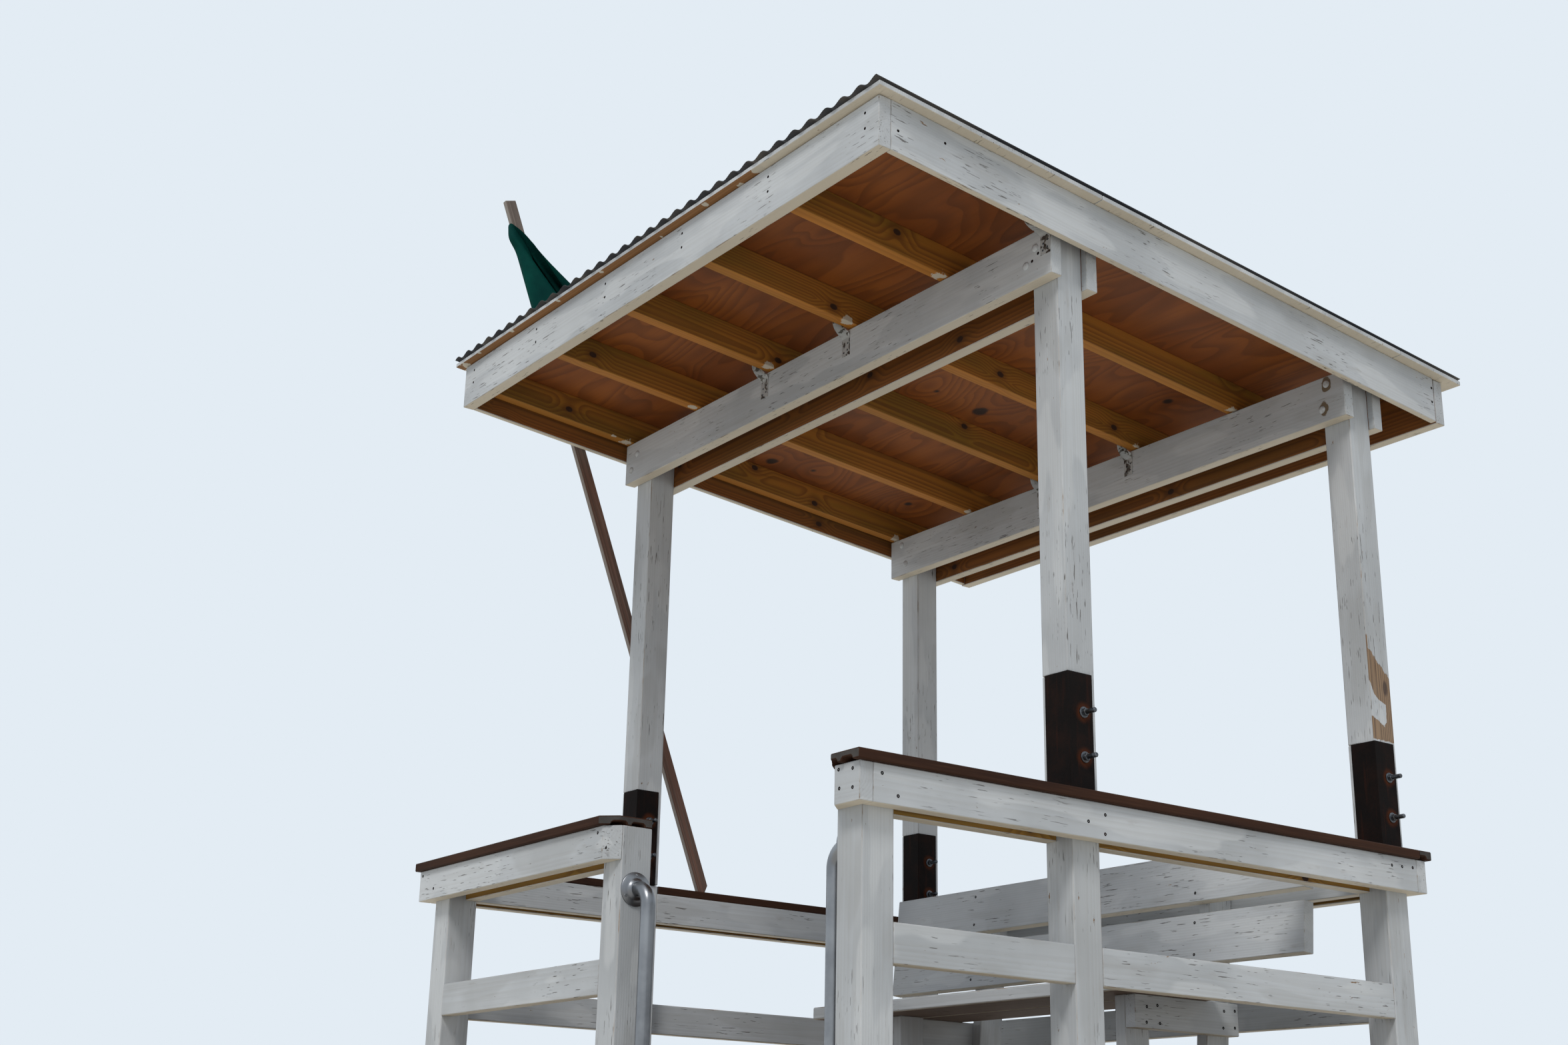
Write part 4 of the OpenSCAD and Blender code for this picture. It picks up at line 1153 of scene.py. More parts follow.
def piece_of(name, meshes, stands_for=()):
    """Joins finished meshes into one piece."""
    finishes = list(dict.fromkeys(finish for mesh in meshes for finish in mesh.materials))
    bm = bmesh.new()
    for mesh in meshes:
        start = len(bm.faces)
        bm.from_mesh(mesh)
        bm.faces.ensure_lookup_table()
        for face in bm.faces[start:]:
            face.material_index = finishes.index(mesh.materials[face.material_index])
    return finished(name, bm, finishes, stands_for)


print("ready to run trees in", bpy.context.scene.name)

# %% [markdown]
# ## Corrugated roofing
# The real sheets are about 660 mm wide, with waves 68 mm apart, and are laid in two rows: the upper
# row laps over the lower one, and each sheet laps its neighbour by one wave. A grid is lifted by a
# cosine of its place across the roof, which gives the true round wave that the plain solid only
# has as straight steps. Solidify then gives the steel its thickness.

# %% Corrugated roofing
WAVE = 68.1 * MM
WAVE_HIGH = 13 * MM
SHEET_THICK = 0.9 * MM
SHEET_WAVES = 9
LAP_AT = 0.904
LAP_LONG = 0.15
POINTS_A_WAVE = 16
POINTS_UP_SLOPE = 9
BELOW_TOP = 2 * MM
SHORT_OF_EDGE = 1 * MM

sheet_low, sheet_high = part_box("roof_sheet")
fall = math.atan((deck_high.z - deck_low.z - PLY_THICK) / (deck_high.y - deck_low.y))

wave_tree, given = new_tree("corrugated_sheet", {
    "Width": "Float", "Length": "Float", "Wave": "Float", "Height": "Float",
    "Left edge": "Float", "Crest": "Float", "Finish": "Material"})
grid = add(wave_tree, "GeometryNodeMeshGrid", {
    "Size X": given["Width"], "Size Y": given["Length"],
    "Vertices X": POINTS_A_WAVE * SHEET_WAVES + 1, "Vertices Y": POINTS_UP_SLOPE})
place = add(wave_tree, "GeometryNodeInputPosition")
across = add(wave_tree, "ShaderNodeSeparateXYZ", (place,), "X")
across = add(wave_tree, "ShaderNodeMath", (given["Width"], 0.5, across), operation="MULTIPLY_ADD")
across = add(wave_tree, "ShaderNodeMath", (across, given["Left edge"]), operation="ADD")
phase = add(wave_tree, "ShaderNodeMath", (across, given["Crest"]), operation="SUBTRACT")
phase = add(wave_tree, "ShaderNodeMath", (phase, given["Wave"]), operation="DIVIDE")
turn = add(wave_tree, "ShaderNodeMath", (phase, 2 * math.pi), operation="MULTIPLY")
wave = add(wave_tree, "ShaderNodeMath", (turn,), operation="COSINE")
wave = add(wave_tree, "ShaderNodeMath", (wave, 0.5, 0.5), operation="MULTIPLY_ADD")
lift = add(wave_tree, "ShaderNodeMath", (wave, given["Height"]), operation="MULTIPLY")
lift = add(wave_tree, "ShaderNodeCombineXYZ", {"Z": lift})
waved = add(wave_tree, "GeometryNodeSetPosition", {"Geometry": grid, "Offset": lift})
smooth = add(wave_tree, "GeometryNodeSetShadeSmooth", (waved,))
end_tree(wave_tree, smooth, given["Finish"])


def roof_sheet(left, width, front, length, raised):
    """One corrugated sheet, laid on the slope of the roof deck."""
    values = {"Width": width, "Length": length, "Wave": WAVE, "Height": WAVE_HIGH,
              "Left edge": left, "Crest": sheet_high.x, "Finish": charcoal}
    mesh = run_tree(wave_tree, bpy.data.meshes.new("seed"), values)
    to_place = Matrix.Translation((left + width / 2, sheet_low.y, sheet_base + raised))
    down_slope = Matrix.Rotation(-fall, 4, "X") @ Matrix.Translation((0, front + length / 2, 0))
    mesh.transform(to_place @ down_slope)
    return mesh


roof_width = sheet_high.x - sheet_low.x
slope_length = (sheet_high.y - sheet_low.y) / math.cos(fall) - SHORT_OF_EDGE
sheet_base = sheet_high.z - (WAVE_HIGH + BELOW_TOP) * math.cos(fall)
cover = (SHEET_WAVES - 1) * WAVE
rows = ((0, LAP_AT - sheet_low.y, SHEET_THICK), (LAP_AT - sheet_low.y - LAP_LONG, None, 0))
sheets = []
for front, length, row_lift in rows:
    for i in range(math.ceil(roof_width / cover)):
        left = max(sheet_low.x, sheet_high.x - (i + 1) * cover - WAVE)
        width = sheet_high.x - i * cover - left
        long = length if length else slope_length - front
        sheets.append(roof_sheet(left, width, front, long, row_lift + (i % 2) * 0.5 * SHEET_THICK))
roofing = piece_of("roof_sheet_waved", sheets, ["roof_sheet"])
wall = roofing.modifiers.new("steel", "SOLIDIFY")
wall.thickness = SHEET_THICK
wall.offset = 1
print(len(sheets), "sheets, slope", round(math.degrees(fall), 2), "degrees")

# %% [markdown]
# ## Splices
# Each roof post stands on its lower half by a half-lap joint, held in a steel angle by two bolts.
# The angle keeps its CAD shape with a small root radius, and rust. A bolt is a rod with threads, a
# washer and a nut on each end. The nut's six sides come from a six-sided ring and its crown from a
# smaller one.


# %% Turned shapes
def turned(name, profile, sides, finish):
    """A shape turned round its own Z axis from (radius, height) pairs in millimetres, from its foot
    to its top."""
    bm = bmesh.new()
    rings = []
    for radius, height in profile:
        ring = []
        for k in range(sides):
            turn = 2 * math.pi * k / sides
            point = (radius * math.cos(turn), radius * math.sin(turn), height)
            ring.append(bm.verts.new(MM * Vector(point)))
        rings.append(ring)
    for below, above in zip(rings, rings[1:]):
        for k in range(sides):
            bm.faces.new((below[k - 1], below[k], above[k], above[k - 1]))
    bm.faces.new(rings[0][::-1])
    bm.faces.new(rings[-1])
    for face in bm.faces:
        face.smooth = sides > 8
    mesh = bpy.data.meshes.new(name)
    bm.to_mesh(mesh)
    bm.free()
    mesh.materials.append(finish)
    return mesh


def placed(mesh, at, facing):
    """A copy of a turned mesh, moved to a place and turned so that its axis looks outwards."""
    copy = mesh.copy()
    turn = Vector(facing).to_track_quat("Z", "Y").to_matrix().to_4x4()
    copy.transform(Matrix.Translation(at) @ turn)
    return copy


WASHER_THICK = 3 * MM
WASHER_MM = [(14, 0), (14, 2.6), (13.6, 3), (7, 3)]
NUT_MM = [(8.2, 0), (9.6, 1), (9.6, 8), (8.0, 9)]
ROD_MM = 38
THREAD_MM = [(6, 0)] + [(6.1 - 0.55 * (k % 2), k) for k in range(1, ROD_MM - 1)] + [(4.6, ROD_MM)]

dressed("splice_angles", [rust], edge_mm=1.0)
nut = turned("nut", NUT_MM, 6, dull_zinc)
washer = turned("washer", WASHER_MM, 32, dull_zinc)
rod = turned("rod", THREAD_MM, 16, dull_zinc)
bolts = []
for x, y, z in splice_bolts_at:
    far_x = x - angle_wall - post
    bolts.append(placed(washer, (x, y, z), (1, 0, 0)))
    bolts.append(placed(nut, (x + WASHER_THICK, y, z), (1, 0, 0)))
    bolts.append(placed(rod, (x + WASHER_THICK, y, z), (1, 0, 0)))
    bolts.append(placed(washer, (far_x, y, z), (-1, 0, 0)))
    bolts.append(placed(nut, (far_x - WASHER_THICK, y, z), (-1, 0, 0)))
piece_of("splice_bolts_threaded", bolts, ["splice_bolts"])
print(len(bolts), "bolt parts")

# %% [markdown]
# ## Rafter ties
# A tie is one strap of sheet steel. Its upper leg lies flat on a rafter's left side, then the strap
# gives a quarter twist, and its lower leg lies flat on the beam's front face. The strap is a row
# of cross sections that turn from one leg's direction to the other's.

# %% Rafter ties
TIE_THICK = 1.2 * MM
TIE_WIDE = 36 * MM
TIE_LEG = 55 * MM
TIE_TURN = 34 * MM
TIE_STEPS = 12
LOWER_LEG_NAILS = ((-9, 12), (8, 17), (-7, 31), (10, 38))
UPPER_LEG_NAILS = ((-8, 12), (8, 22), (-6, 38))


def twisted_strap(foot, head, leg_middle, fore_middle):
    """A strap from its foot to its head. leg_middle is the middle of the lower leg in plan and
    fore_middle that of the upper leg."""
    bm = bmesh.new()
    stations = [foot] + [foot + TIE_LEG + TIE_TURN * k / TIE_STEPS for k in range(TIE_STEPS + 1)] + [head]
    rings = []
    for z in stations:
        up = min(max((z - foot - TIE_LEG) / TIE_TURN, 0), 1)
        eased = up * up * (3 - 2 * up)
        turn = eased * math.pi / 2
        middle = leg_middle.lerp(fore_middle, eased)
        wide = TIE_WIDE / 2 * Vector((math.cos(turn), math.sin(turn), 0))
        thick = TIE_THICK / 2 * Vector((-math.sin(turn), math.cos(turn), 0))
        centre = Vector((middle.x, middle.y, z))
        corners = (-wide - thick, wide - thick, wide + thick, -wide + thick)
        rings.append([bm.verts.new(centre + corner) for corner in corners])
    for below, above in zip(rings, rings[1:]):
        for k in range(4):
            bm.faces.new((below[k - 1], below[k], above[k], above[k - 1]))
    bm.faces.new(rings[0][::-1])
    bm.faces.new(rings[-1])
    bmesh.ops.recalc_face_normals(bm, faces=bm.faces[:])
    mesh = bpy.data.meshes.new("strap")
    bm.to_mesh(mesh)
    bm.free()
    mesh.materials.append(strap_zinc)
    return mesh


ties = clean_copy("rafter_ties")
straps, tie_spots = [], []
for faces in solids(ties):
    corners = [vert.co for face in faces for vert in face.verts]
    tie_low = Vector([min(corner[i] for corner in corners) for i in range(3)])
    tie_high = Vector([max(corner[i] for corner in corners) for i in range(3)])
    upper = [corner for corner in corners if corner.z > tie_high.z - MM]
    side = max(corner.x for corner in upper)
    leg = [corner for corner in corners if corner.z < tie_low.z + MM]
    leg_x = (min(corner.x for corner in leg) + max(corner.x for corner in leg)) / 2
    leg_middle = Vector((leg_x, tie_high.y - TIE_THICK / 2))
    fore_middle = Vector((side - TIE_THICK / 2, tie_low.y + TIE_WIDE / 2))
    straps.append(twisted_strap(tie_low.z, tie_high.z, leg_middle, fore_middle))
    for across, rise in LOWER_LEG_NAILS:
        spot = Vector((leg_x + across * MM, tie_high.y - TIE_THICK, tie_low.z + rise * MM))
        tie_spots.append((spot, Vector((0, -1, 0))))
    for along, down in UPPER_LEG_NAILS:
        spot = Vector((side - TIE_THICK, fore_middle.y + along * MM, tie_high.z - down * MM))
        tie_spots.append((spot, Vector((-1, 0, 0))))
ties.free()
piece_of("rafter_ties_twisted", straps, ["rafter_ties"])
print(len(straps), "ties,", len(tie_spots), "nails in them")

# %% [markdown]
# ## Grab bars
# A grab bar is one stainless tube with two bends, standing on two round flanges. The tube follows a
# path of four points whose corners are filleted, and a round profile is swept along it. The
# flanges are turned.

# %% Grab bars
TUBE_RADIUS = 19 * MM
TUBE_SIDES = 36
BEND_RADIUS = 45 * MM
BEND_POINTS = 14
FLANGE_MM = [(44, 0), (44, 2.5), (42.5, 4.5), (30, 6), (25, 9), (22, 13), (19.2, 14)]

tube_tree, given = new_tree("bent_tube", {"Radius": "Float", "Bend": "Float", "Finish": "Material"})
line = add(tube_tree, "GeometryNodeMeshToCurve", (given["Geometry"],))
bend = {"Curve": line, "Radius": given["Bend"], "Count": BEND_POINTS}
bent = add(tube_tree, "GeometryNodeFilletCurve", bend, mode="POLY")
girth = {"Resolution": TUBE_SIDES, "Radius": given["Radius"]}
ring = add(tube_tree, "GeometryNodeCurvePrimitiveCircle", girth, mode="RADIUS")
sweep = {"Curve": bent, "Profile Curve": ring, "Fill Caps": True}
tube = add(tube_tree, "GeometryNodeCurveToMesh", sweep)
smooth = add(tube_tree, "GeometryNodeSetShadeSmooth", (tube,))
end_tree(tube_tree, smooth, given["Finish"])


def grab_bar(node, side):
    """A grab bar on a post face. side is 1 where it stands out along +X."""
    bar_low, bar_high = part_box(node)
    face = bar_low.x if side > 0 else bar_high.x
    out = bar_high.x if side > 0 else bar_low.x
    centre_x = out - side * TUBE_RADIUS
    y = (bar_low.y + bar_high.y) / 2
    flange_radius = FLANGE_MM[0][0] * MM
    ends = [bar_high.z - flange_radius, bar_low.z + flange_radius]
    points = [(face, y, ends[0]), (centre_x, y, ends[0]), (centre_x, y, ends[1]), (face, y, ends[1])]
    path_mesh = bpy.data.meshes.new("tube_path")
    path_mesh.from_pydata(points, [(0, 1), (1, 2), (2, 3)], [])
    sizes = {"Radius": TUBE_RADIUS, "Bend": BEND_RADIUS, "Finish": stainless}
    parts = [run_tree(tube_tree, path_mesh, sizes)]
    flange = turned("flange", FLANGE_MM, 64, stainless)
    parts += [placed(flange, (face, y, z), (side, 0, 0)) for z in ends]
    return piece_of(f"{node}_satin", parts, [node])


grab_bar("left_grab_bar", 1)
grab_bar("right_grab_bar", -1)
print("grab bars", round((high("left_grab_bar").z - low("left_grab_bar").z) / MM), "mm over the flanges")

# %% [markdown]
# ## Flag
# The flag is a plain nylon cloth. Its hoist is bound to the front of its board, where it bulges a
# little below the top, and from there the cloth comes round the board's inner side. It is limp, and
# a light breeze leans it to the back. It is made as the real one is: a flat cloth is cut to size and
# pinned across the front of the leaning board, and a cloth simulation lets it fall. The breeze is a
# sideways share of gravity, and a little of it keeps the cloth off the board. The result is
# smoothed, points still inside the board are moved out of it, and it is kept as a plain mesh.

# %% Flag cloth
FLAG_HOIST = 0.457
FLAG_FLY = 0.610
FLAG_STEPS = (30, 40)
FLAG_DROP = 0.084
FALL = Vector((0.8, 6.6, -7.2))
FALL_FRAMES = 80
CLOTH_GAP = 3 * MM
CLOTH_SKIN = 2 * MM
ROOF_GRIP = 8
BULGE = 14 * MM
BULGE_AT = 0.05
BULGE_WIDE = 0.7 * BULGE_AT
SWAY = 8 * MM
SWAYS = 4.5
OFF_BOARD = 8 * MM

mast = clean_copy("flag_board")
mast_along, mast_across, mast_through = board_axes(solids(mast)[0])
mast_points = [vert.co.copy() for vert in mast.verts]
mast.free()
mast_up = mast_along if mast_along.z > 0 else -mast_along
mast_back = mast_across if abs(mast_across.y) > abs(mast_through.y) else mast_through
mast_back = mast_back if mast_back.y > 0 else -mast_back
mast_in = mast_back.cross(mast_up)
mast_top = max(point.dot(mast_up) for point in mast_points)
mast_front = min(point.dot(mast_back) for point in mast_points)
mast_inner = max(point.dot(mast_in) for point in mast_points)
mast_outer = min(point.dot(mast_in) for point in mast_points)
mast_rear = max(point.dot(mast_back) for point in mast_points)
wrap = mast_inner - mast_outer + CLOTH_GAP

columns, rows = FLAG_STEPS[1] + 1, FLAG_STEPS[0] + 1
points, uvs = [], []
for j in range(rows):
    drop = FLAG_HOIST * j / FLAG_STEPS[0]
    for i in range(columns):
        fly = 0 if i == 0 else wrap + (FLAG_FLY - wrap) * (i - 1) / (columns - 2)
        bulge = BULGE * math.exp(-(((drop - BULGE_AT) / BULGE_WIDE) ** 2))
        back = mast_front - CLOTH_GAP - bulge + max(fly - wrap, 0)
        sway = SWAY * math.sin(SWAYS * math.pi * drop / FLAG_HOIST) * (fly / FLAG_FLY) ** 0.5
        inward = mast_outer + min(fly, wrap) + (sway + OFF_BOARD * fly / FLAG_FLY if i > 1 else 0)
        points.append(mast_up * (mast_top - FLAG_DROP - drop) + mast_back * back + mast_in * inward)
        uvs.append((fly, drop))
quads = []
for j in range(rows - 1):
    for i in range(columns - 1):
        a = j * columns + i
        quads.append((a, a + columns, a + columns + 1, a + 1))
cloth_mesh = bpy.data.meshes.new("flag_cloth")
cloth_mesh.from_pydata(points, [], quads)
layer = cloth_mesh.uv_layers.new(name="cloth")
for loop in cloth_mesh.loops:
    layer.data[loop.index].uv = uvs[loop.vertex_index]
cloth_mesh.materials.append(nylon)
flag = bpy.data.objects.new("flag_cloth", cloth_mesh)
bpy.context.scene.collection.objects.link(flag)
print("flat cloth", columns, "by", rows, "points, bound round", round(wrap / MM), "mm of board")

# %% [markdown]
# The roof is in the cloth's way. A closed copy of its CAD solid, raised by the height of the waves,
# stops the cloth and goes again when it has come to rest.


# %% Let the flag fall
def obstacle(node, raised):
    """A solid that the cloth can't pass, raised a little."""
    bm = clean_copy(node)
    bmesh.ops.translate(bm, verts=bm.verts[:], vec=(0, 0, raised))
    bmesh.ops.triangulate(bm, faces=bm.faces[:])
    mesh = bpy.data.meshes.new("obstacle")
    bm.to_mesh(mesh)
    bm.free()
    body = bpy.data.objects.new("obstacle", mesh)
    bpy.context.scene.collection.objects.link(body)
    body.modifiers.new("stop", "COLLISION")
    body.collision.thickness_outer = CLOTH_SKIN
    body.collision.cloth_friction = ROOF_GRIP
    return body


roof_stop = obstacle("roof_deck", WAVE_HIGH + CLOTH_GAP)
pins = flag.vertex_groups.new(name="pins")
pins.add([j * columns + i for j in range(rows) for i in (0, 1)], 1.0, "REPLACE")
drape = flag.modifiers.new("drape", "CLOTH")
drape.settings.vertex_group_mass = "pins"
drape.settings.quality = 7
drape.settings.mass = 0.05
drape.settings.air_damping = 1.2
drape.settings.tension_stiffness = 30
drape.settings.compression_stiffness = 30
drape.settings.shear_stiffness = 2
drape.settings.bending_stiffness = 0.2
drape.collision_settings.distance_min = CLOTH_SKIN
drape.collision_settings.use_self_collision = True
drape.collision_settings.self_distance_min = CLOTH_GAP
relax = flag.modifiers.new("relax", "SMOOTH")
relax.factor = 0.4
relax.iterations = 1
relax.vertex_group = "pins"
relax.invert_vertex_group = True
finer = flag.modifiers.new("finer", "SUBSURF")
finer.levels = 1
plain_gravity = bpy.context.scene.gravity.copy()
bpy.context.scene.gravity = FALL
for frame_number in range(1, FALL_FRAMES + 1):
    bpy.context.scene.frame_set(frame_number)
depsgraph = bpy.context.evaluated_depsgraph_get()
hung = bpy.data.meshes.new_from_object(flag.evaluated_get(depsgraph), depsgraph=depsgraph)
flag.modifiers.clear()
bpy.data.objects.remove(roof_stop)
bpy.context.scene.gravity = plain_gravity
bpy.context.scene.frame_set(1)
flag.data = hung
pushed = 0
for vert in hung.vertices:
    fore = vert.co.dot(mast_back) - (mast_front - CLOTH_GAP)
    aft = mast_rear + CLOTH_GAP - vert.co.dot(mast_back)
    inward = mast_inner + CLOTH_GAP - vert.co.dot(mast_in)
    if fore > 0 and aft > 0 and inward > 0 and vert.co.dot(mast_up) < mast_top:
        vert.co += mast_in * inward if inward < fore or fore > 2 * CLOTH_GAP else mast_back * -fore
        pushed += 1
for polygon in hung.polygons:
    polygon.use_smooth = True
flag_area = sum(polygon.area for polygon in hung.polygons)
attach(flag, "root")
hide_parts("flag")
print("flag area", round(flag_area, 3), "m2 of", round(FLAG_FLY * FLAG_HOIST, 3),
      "and", pushed, "points moved clear of its board")

# %% [markdown]
# ## Fasteners
# Nails, screws and bolt heads are small, but they are what says that this is carpentry. Each is
# one turned head, and one tree sets a copy of it on every spot, looking out of the board. A spot
# is a place and a direction.

# %% Setting heads on spots
head_tree, given = new_tree("set_heads", {"Head": "Object", "Finish": "Material"})
facing = add(head_tree, "GeometryNodeInputNamedAttribute", ("facing",), data_type="FLOAT_VECTOR")
turn = add(head_tree, "FunctionNodeAlignRotationToVector", {"Vector": facing}, axis="Z")
head = add(head_tree, "GeometryNodeObjectInfo", {"Object": given["Head"], "As Instance": True}, "Geometry")
copies = {"Points": given["Geometry"], "Instance": head, "Rotation": turn}
heads = add(head_tree, "GeometryNodeInstanceOnPoints", copies)
end_tree(head_tree, heads, given["Finish"])


def set_heads(name, spots, profile, sides, finish):
    """Sets a turned head on every spot. A spot is (place, direction)."""
    source = bpy.data.meshes.new("spots")
    source.from_pydata([tuple(place) for place, _ in spots], [], [])
    looks = source.attributes.new("facing", "FLOAT_VECTOR", "POINT")
    for i, (_, direction) in enumerate(spots):
        looks.data[i].vector = direction
    pattern = bpy.data.objects.new("head", turned("head", profile, sides, finish))
    bpy.context.scene.collection.objects.link(pattern)
    mesh = run_tree(head_tree, source, {"Head": pattern, "Finish": finish})
    bpy.data.objects.remove(pattern)
    return piece_of(name, [mesh])


FRONT, BACK, LEFT, RIGHT = Vector((0, -1, 0)), Vector((0, 1, 0)), Vector((-1, 0, 0)), Vector((1, 0, 0))
UP = Vector((0, 0, 1))
tower_mid_x = (low("front_left_post").x + high("front_right_post").x) / 2
tower_mid_y = (low("front_right_post").y + high("back_right_post").y) / 2


def on_face(axis, at, direction, places_mm):
    """Spots on a face that lies across an axis. The places are the two other coordinates in mm."""
    made = []
    for first, second in places_mm:
        point = [first * MM, second * MM]
        point.insert(axis, at)
        made.append((Vector(point), direction))
    return made


def mirrored(spots, axis, middle):
    """The same spots on the other side of the tower."""
    made = []
    for place, direction in spots:
        place, direction = place.copy(), direction.copy()
        place[axis] = 2 * middle - place[axis]
        direction[axis] = -direction[axis]
        made.append((place, direction))
    return made


def both_sides(spots, axis=0):
    """Spots and their mirror image."""
    return spots + mirrored(spots, axis, tower_mid_y if axis else tower_mid_x)


print("tower's middle", round(tower_mid_x / MM, 1), round(tower_mid_y / MM, 1), "mm")

# %% [markdown]
# Nails hold the roof's edge boards, the ties, the rims and the inner rail boards. Their heads are
# dark with rust. Where a nail sits in the photograph, its place was read off there, and the hidden
# sides take the same pattern.

# %% Nails
NAIL_MM = [(3.9, -0.2), (3.9, 0.35), (3.2, 0.6)]
TIE_NAIL_MM = [(3.1, -0.2), (3.1, 0.5), (2.4, 0.9)]
RAFTERS = 6
FASCIA_DROPS_MM = (28, 71)
RIM_RISES_MM = (36, 92, 148)
RAKE_NAILS = ((6, 4005), (157, 4024), (2068, 3874), (2065, 3828))
OFF_CENTRE = 3 * MM
NAIL_LEAN = 1 / 8

nails = []
rafter_x0 = low("rafters").x + board_t / 2
rafter_step = (high("rafters").x - low("rafters").x - board_t) / (RAFTERS - 1)
fascia_low, fascia_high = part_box("fascia_boards")
back_top = high("rake_boards").z - (fascia_high.y - fascia_low.y) * math.tan(fall)
for i in range(RAFTERS):
    x = rafter_x0 + i * rafter_step + OFF_CENTRE
    for down in FASCIA_DROPS_MM:
        nails.append((Vector((x, fascia_low.y, fascia_high.z - down * MM)), FRONT))
        nails.append((Vector((x, fascia_high.y, back_top - down * MM)), BACK))
nails += both_sides(on_face(0, high("rake_boards").x, RIGHT, RAKE_NAILS))

joists = clean_copy("joists")
joist_xs = []
for faces in solids(joists):
    xs = [vert.co.x for face in faces for vert in face.verts]
    joist_xs.append((min(xs) + max(xs)) / 2)
joist_xs.sort()
joists.free()
rim_low, rim_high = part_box("end_rims")
for x in joist_xs:
    for rise in RIM_RISES_MM:
        nails.append((Vector((x, rim_low.y, rim_low.z + rise * MM)), FRONT))
        nails.append((Vector((x, rim_high.y, rim_low.z + rise * MM)), BACK))
row_posts = ("front_right_post", "mid_right_post", "back_right_post")
side_nails = []
for name in row_posts:
    y = (low(name).y + high(name).y) / 2
    for rise in RIM_RISES_MM:
        place = Vector((high("side_rims").x, y + rise * MM * NAIL_LEAN, rim_low.z + rise * MM))
        side_nails.append((place, RIGHT))
nails += both_sides(side_nails)
set_heads("nail_heads", nails, NAIL_MM, 10, rust)
set_heads("tie_nail_heads", tie_spots, TIE_NAIL_MM, 10, dull_zinc)
print(len(nails) + len(tie_spots), "nails, joists at", [round(x, 3) for x in joist_xs])

# %% [markdown]
# Screws hold the rails, the caps, the bench, the decking, the braces and the ladder. A screw head
# is countersunk with a small dark recess. On the doubled rails they sit at every post, in the
# crooked pattern of the photograph.

# %% Screws
SCREW_MM = [(4.3, -0.2), (4.3, 0.3), (3.3, 0.75), (1.7, 0.75), (1.2, -0.1)]
RAIL_SCREWS = ((-20, 2416), (25, 2371), (602, 2388), (658, 2410), (656, 2364),
               (1724, 2411), (1767, 2412), (1812, 2414))
CORNER_SCREWS = ((8, 2426), (58, 2422), (11, 2384), (58, 2380))
FRONT_SCREWS = ((-2008, 2423), (-1933, 2379), (-1008, 2421), (-963, 2377))
BENCH_SCREWS = ((1320, 2047), (1361, 2053), (1317, 2006), (1368, 2006),
                (1625, 2056), (1669, 2059), (1619, 2010), (1666, 2013))
SEAT_SCREWS_Y = (1302, 1350, 1402, 1540)
BACK_BOARD_HALF_PAIR = 45 * MM

screws = both_sides(on_face(0, high("right_rail").x, RIGHT, RAIL_SCREWS))
screws += on_face(1, low("front_rail").y, FRONT, CORNER_SCREWS + FRONT_SCREWS)
screws += both_sides(on_face(1, high("back_rail").y, BACK, CORNER_SCREWS))
screws += both_sides(on_face(0, high("bench_cross_pieces").x, RIGHT, BENCH_SCREWS))
seat_top = high("bench_seat").z
cross_x = high("bench_cross_pieces").x - board_t / 2
screws += both_sides([(Vector((cross_x, y * MM, seat_top)), UP) for y in SEAT_SCREWS_Y])
back_board = clean_copy("bench_back")
for faces in solids(back_board):
    front_face = max(faces, key=lambda face: -face.normal.y * face.calc_area())
    centre, out = front_face.calc_center_median(), front_face.normal
    up_board = RIGHT.cross(out)
    for apart in (-BACK_BOARD_HALF_PAIR, BACK_BOARD_HALF_PAIR):
        place = centre + up_board * apart
        place.x = high("bench_legs").x - board_t / 2
        screws += both_sides([(place, out.copy())])
back_board.free()
print(len(screws), "screws in the rails and the bench")

# %% [markdown]
# The decking has two screws in every board at every joist. The braces and the ladder have two at
# each end of each board.


# %% More screws
def run_of(start, end, step):
    """Even places from start to end, about a step apart."""
    count = max(round((end - start) / step), 1)
    return [start + (end - start) * k / count for k in range(count + 1)]


CAP_STEP = 0.4
CAP_FIRST = 45 * MM
CAP_HALF_PAIR = 38 * MM
DECK_HALF_PAIR = 47 * MM
BRACE_HALF_PAIR = 20 * MM
TREAD_HALF_PAIR = 28 * MM

for name, along in (("right_cap", 1), ("left_cap", 1), ("back_cap", 0), ("front_cap", 0)):
    cap_low, cap_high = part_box(name)
    middle = (cap_low[1 - along] + cap_high[1 - along]) / 2
    for place in run_of(cap_low[along] + CAP_FIRST, cap_high[along] - CAP_FIRST, CAP_STEP):
        for apart in (-CAP_HALF_PAIR, CAP_HALF_PAIR):
            spot = Vector((0, 0, cap_high.z))
            spot[along], spot[1 - along] = place, middle + apart
            screws.append((spot, UP))

decking = clean_copy("deck_boards")
for faces in solids(decking):
    ys = [vert.co.y for face in faces for vert in face.verts]
    middle = (min(ys) + max(ys)) / 2
    for x in joist_xs:
        for apart in (-DECK_HALF_PAIR, DECK_HALF_PAIR):
            screws.append((Vector((x, middle + apart, high("deck_boards").z)), UP))
decking.free()


def brace_spots(axis, start, end, face, direction):
    """Two screws at each end of a brace, which climbs from start to end along an axis. Each pair
    leans with the brace."""
    foot, top = low("leg_braces").z, high("leg_braces").z
    wide = high("foot_rails").z - low("foot_rails").z
    made = []
    half_post = post / 2 / abs(end - start)
    for share in (half_post, 1 - half_post):
        along = start + (end - start) * share
        middle = foot + wide / 2 + (top - foot - wide) * share
        for apart in (-BRACE_HALF_PAIR, BRACE_HALF_PAIR):
            spot = Vector((0, 0, middle + apart))
            spot[axis], spot[1 - axis] = along - apart / 3, face
            made.append((spot, direction))
    return made


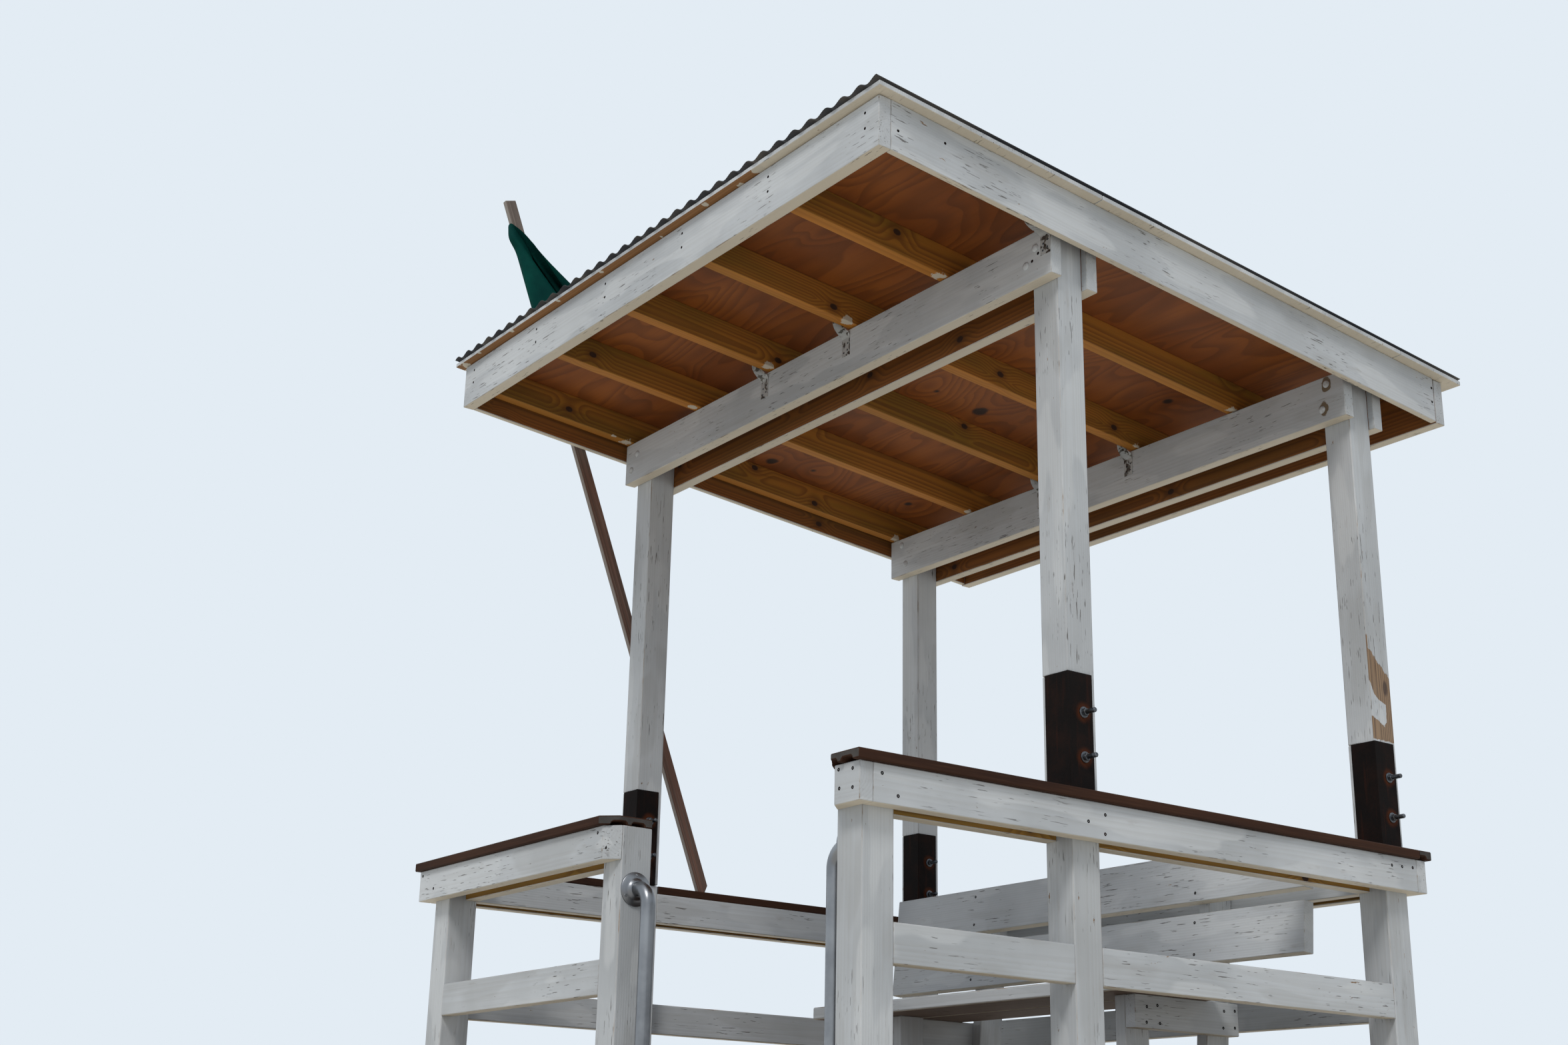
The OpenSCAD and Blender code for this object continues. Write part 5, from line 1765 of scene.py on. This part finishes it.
brace_high = high("leg_braces")
side_start, side_end = low("mid_right_post").y, high("back_right_post").y
screws += both_sides(brace_spots(1, side_start, side_end, brace_high.x, RIGHT))
screws += brace_spots(0, low("back_left_post").x, high("back_right_post").x, brace_high.y, BACK)

treads = clean_copy("ladder_treads")
for faces in solids(treads):
    corners = [vert.co for face in faces for vert in face.verts]
    y = (min(corner.y for corner in corners) + max(corner.y for corner in corners)) / 2
    z = (min(corner.z for corner in corners) + max(corner.z for corner in corners)) / 2
    for apart in (-TREAD_HALF_PAIR, TREAD_HALF_PAIR):
        screws.append((Vector((low("ladder_stringers").x, y + apart, z)), LEFT))
        screws.append((Vector((high("ladder_stringers").x, y + apart, z)), RIGHT))
treads.free()
set_heads("screw_heads", screws, SCREW_MM, 10, rust)
print(len(screws), "screws")

# %% [markdown]
# The doubled beams are bolted through the roof posts. The round heads in front were painted over
# on both beams. Two more holes stand empty in the middle beam, and round a bolt of the back beam
# the paint has gone. Behind, each bolt ends in a washer and a nut.

# %% Beam bolts
DOME_MM = [(11.5, -0.2), (11.5, 0.8), (10, 2.8), (7, 4.6), (3.5, 5.4), (1, 5.6)]
HOLE_MM = [(4.5, -0.2), (4.5, 0.1), (4.3, 0.15)]
MID_BOLTS = ((6, 3896), (-30, 3857), (-1937, 3899), (-1971, 3849))
BACK_BOLTS = ((2, 3822), (-19, 3747), (-1945, 3822), (-1924, 3747))
EMPTY_HOLES = ((16, 3877), (-7, 3863))

painted_heads = on_face(1, low("mid_beam").y, FRONT, MID_BOLTS)
painted_heads += on_face(1, low("back_beam").y, FRONT, BACK_BOLTS)
set_heads("painted_bolt_heads", painted_heads, DOME_MM, 24, plain_paint)
set_heads("empty_bolt_holes", on_face(1, low("mid_beam").y, FRONT, EMPTY_HOLES), HOLE_MM, 16, rust)
ends = on_face(1, high("mid_beam").y, BACK, MID_BOLTS) + on_face(1, high("back_beam").y, BACK, BACK_BOLTS)
set_heads("beam_bolt_washers", ends, WASHER_MM, 24, dull_zinc)
nut_on_washer = [(radius, height + WASHER_THICK / MM) for radius, height in NUT_MM]
set_heads("beam_bolt_nuts", ends, nut_on_washer, 6, dull_zinc)
print(len(painted_heads), "bolts through the beams")

# %% [markdown]
# The roofing is held by hexagonal screws on a rubber seal, on every third crest. Each flange of
# the grab bars has three screws.

# %% Roof and flange screws
SEAL_MM = [(8.5, -0.4), (8.5, 0.8), (7.4, 1.4)]
HEX_MM = [(5.6, 1.2), (6.2, 1.8), (6.2, 5.4), (5.4, 6.0)]
ROOF_ROWS = 5
ROW_IN = 0.06
CREST_STEP = 3
tilt = Matrix.Rotation(-fall, 4, "X")
sheet_spots = []
row_step = (slope_length - 2 * ROW_IN) / (ROOF_ROWS - 1)
for place in run_of(ROW_IN, slope_length - ROW_IN, row_step):
    lift = SHEET_THICK if place < LAP_AT - sheet_low.y else 0
    for k in range(1, int(roof_width / WAVE), CREST_STEP):
        on_sheet = Vector((0, place, WAVE_HIGH + 2 * SHEET_THICK))
        spot = Vector((sheet_high.x - k * WAVE, sheet_low.y, sheet_base + lift)) + tilt @ on_sheet
        sheet_spots.append((spot, tilt @ UP))
set_heads("roof_screw_seals", sheet_spots, SEAL_MM, 14, charcoal)
set_heads("roof_screw_heads", sheet_spots, HEX_MM, 6, zinc)

FLANGE_SCREW_MM = [(3.6, -0.6), (3.6, 0.6), (2.8, 1.1), (1.4, 1.1), (1.0, 0.2)]
FLANGE_SCREW_RING = 36 * MM
FLANGE_SCREW_SEAT = 5.2 * MM
FLANGE_SCREW_TURNS = (90, 210, 330)
flange_spots = []
for node, side in (("left_grab_bar", 1), ("right_grab_bar", -1)):
    bar_low, bar_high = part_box(node)
    face = (bar_low.x if side > 0 else bar_high.x) + side * FLANGE_SCREW_SEAT
    flange_radius = FLANGE_MM[0][0] * MM
    for z in (bar_low.z + flange_radius, bar_high.z - flange_radius):
        for degrees in FLANGE_SCREW_TURNS:
            across = FLANGE_SCREW_RING * math.cos(math.radians(degrees))
            rise = FLANGE_SCREW_RING * math.sin(math.radians(degrees))
            y = (bar_low.y + bar_high.y) / 2 + across
            flange_spots.append((Vector((face, y, z + rise)), side * RIGHT))
set_heads("flange_screws", flange_spots, FLANGE_SCREW_MM, 12, stainless)
print(len(sheet_spots), "roof screws,", len(flange_spots), "flange screws")
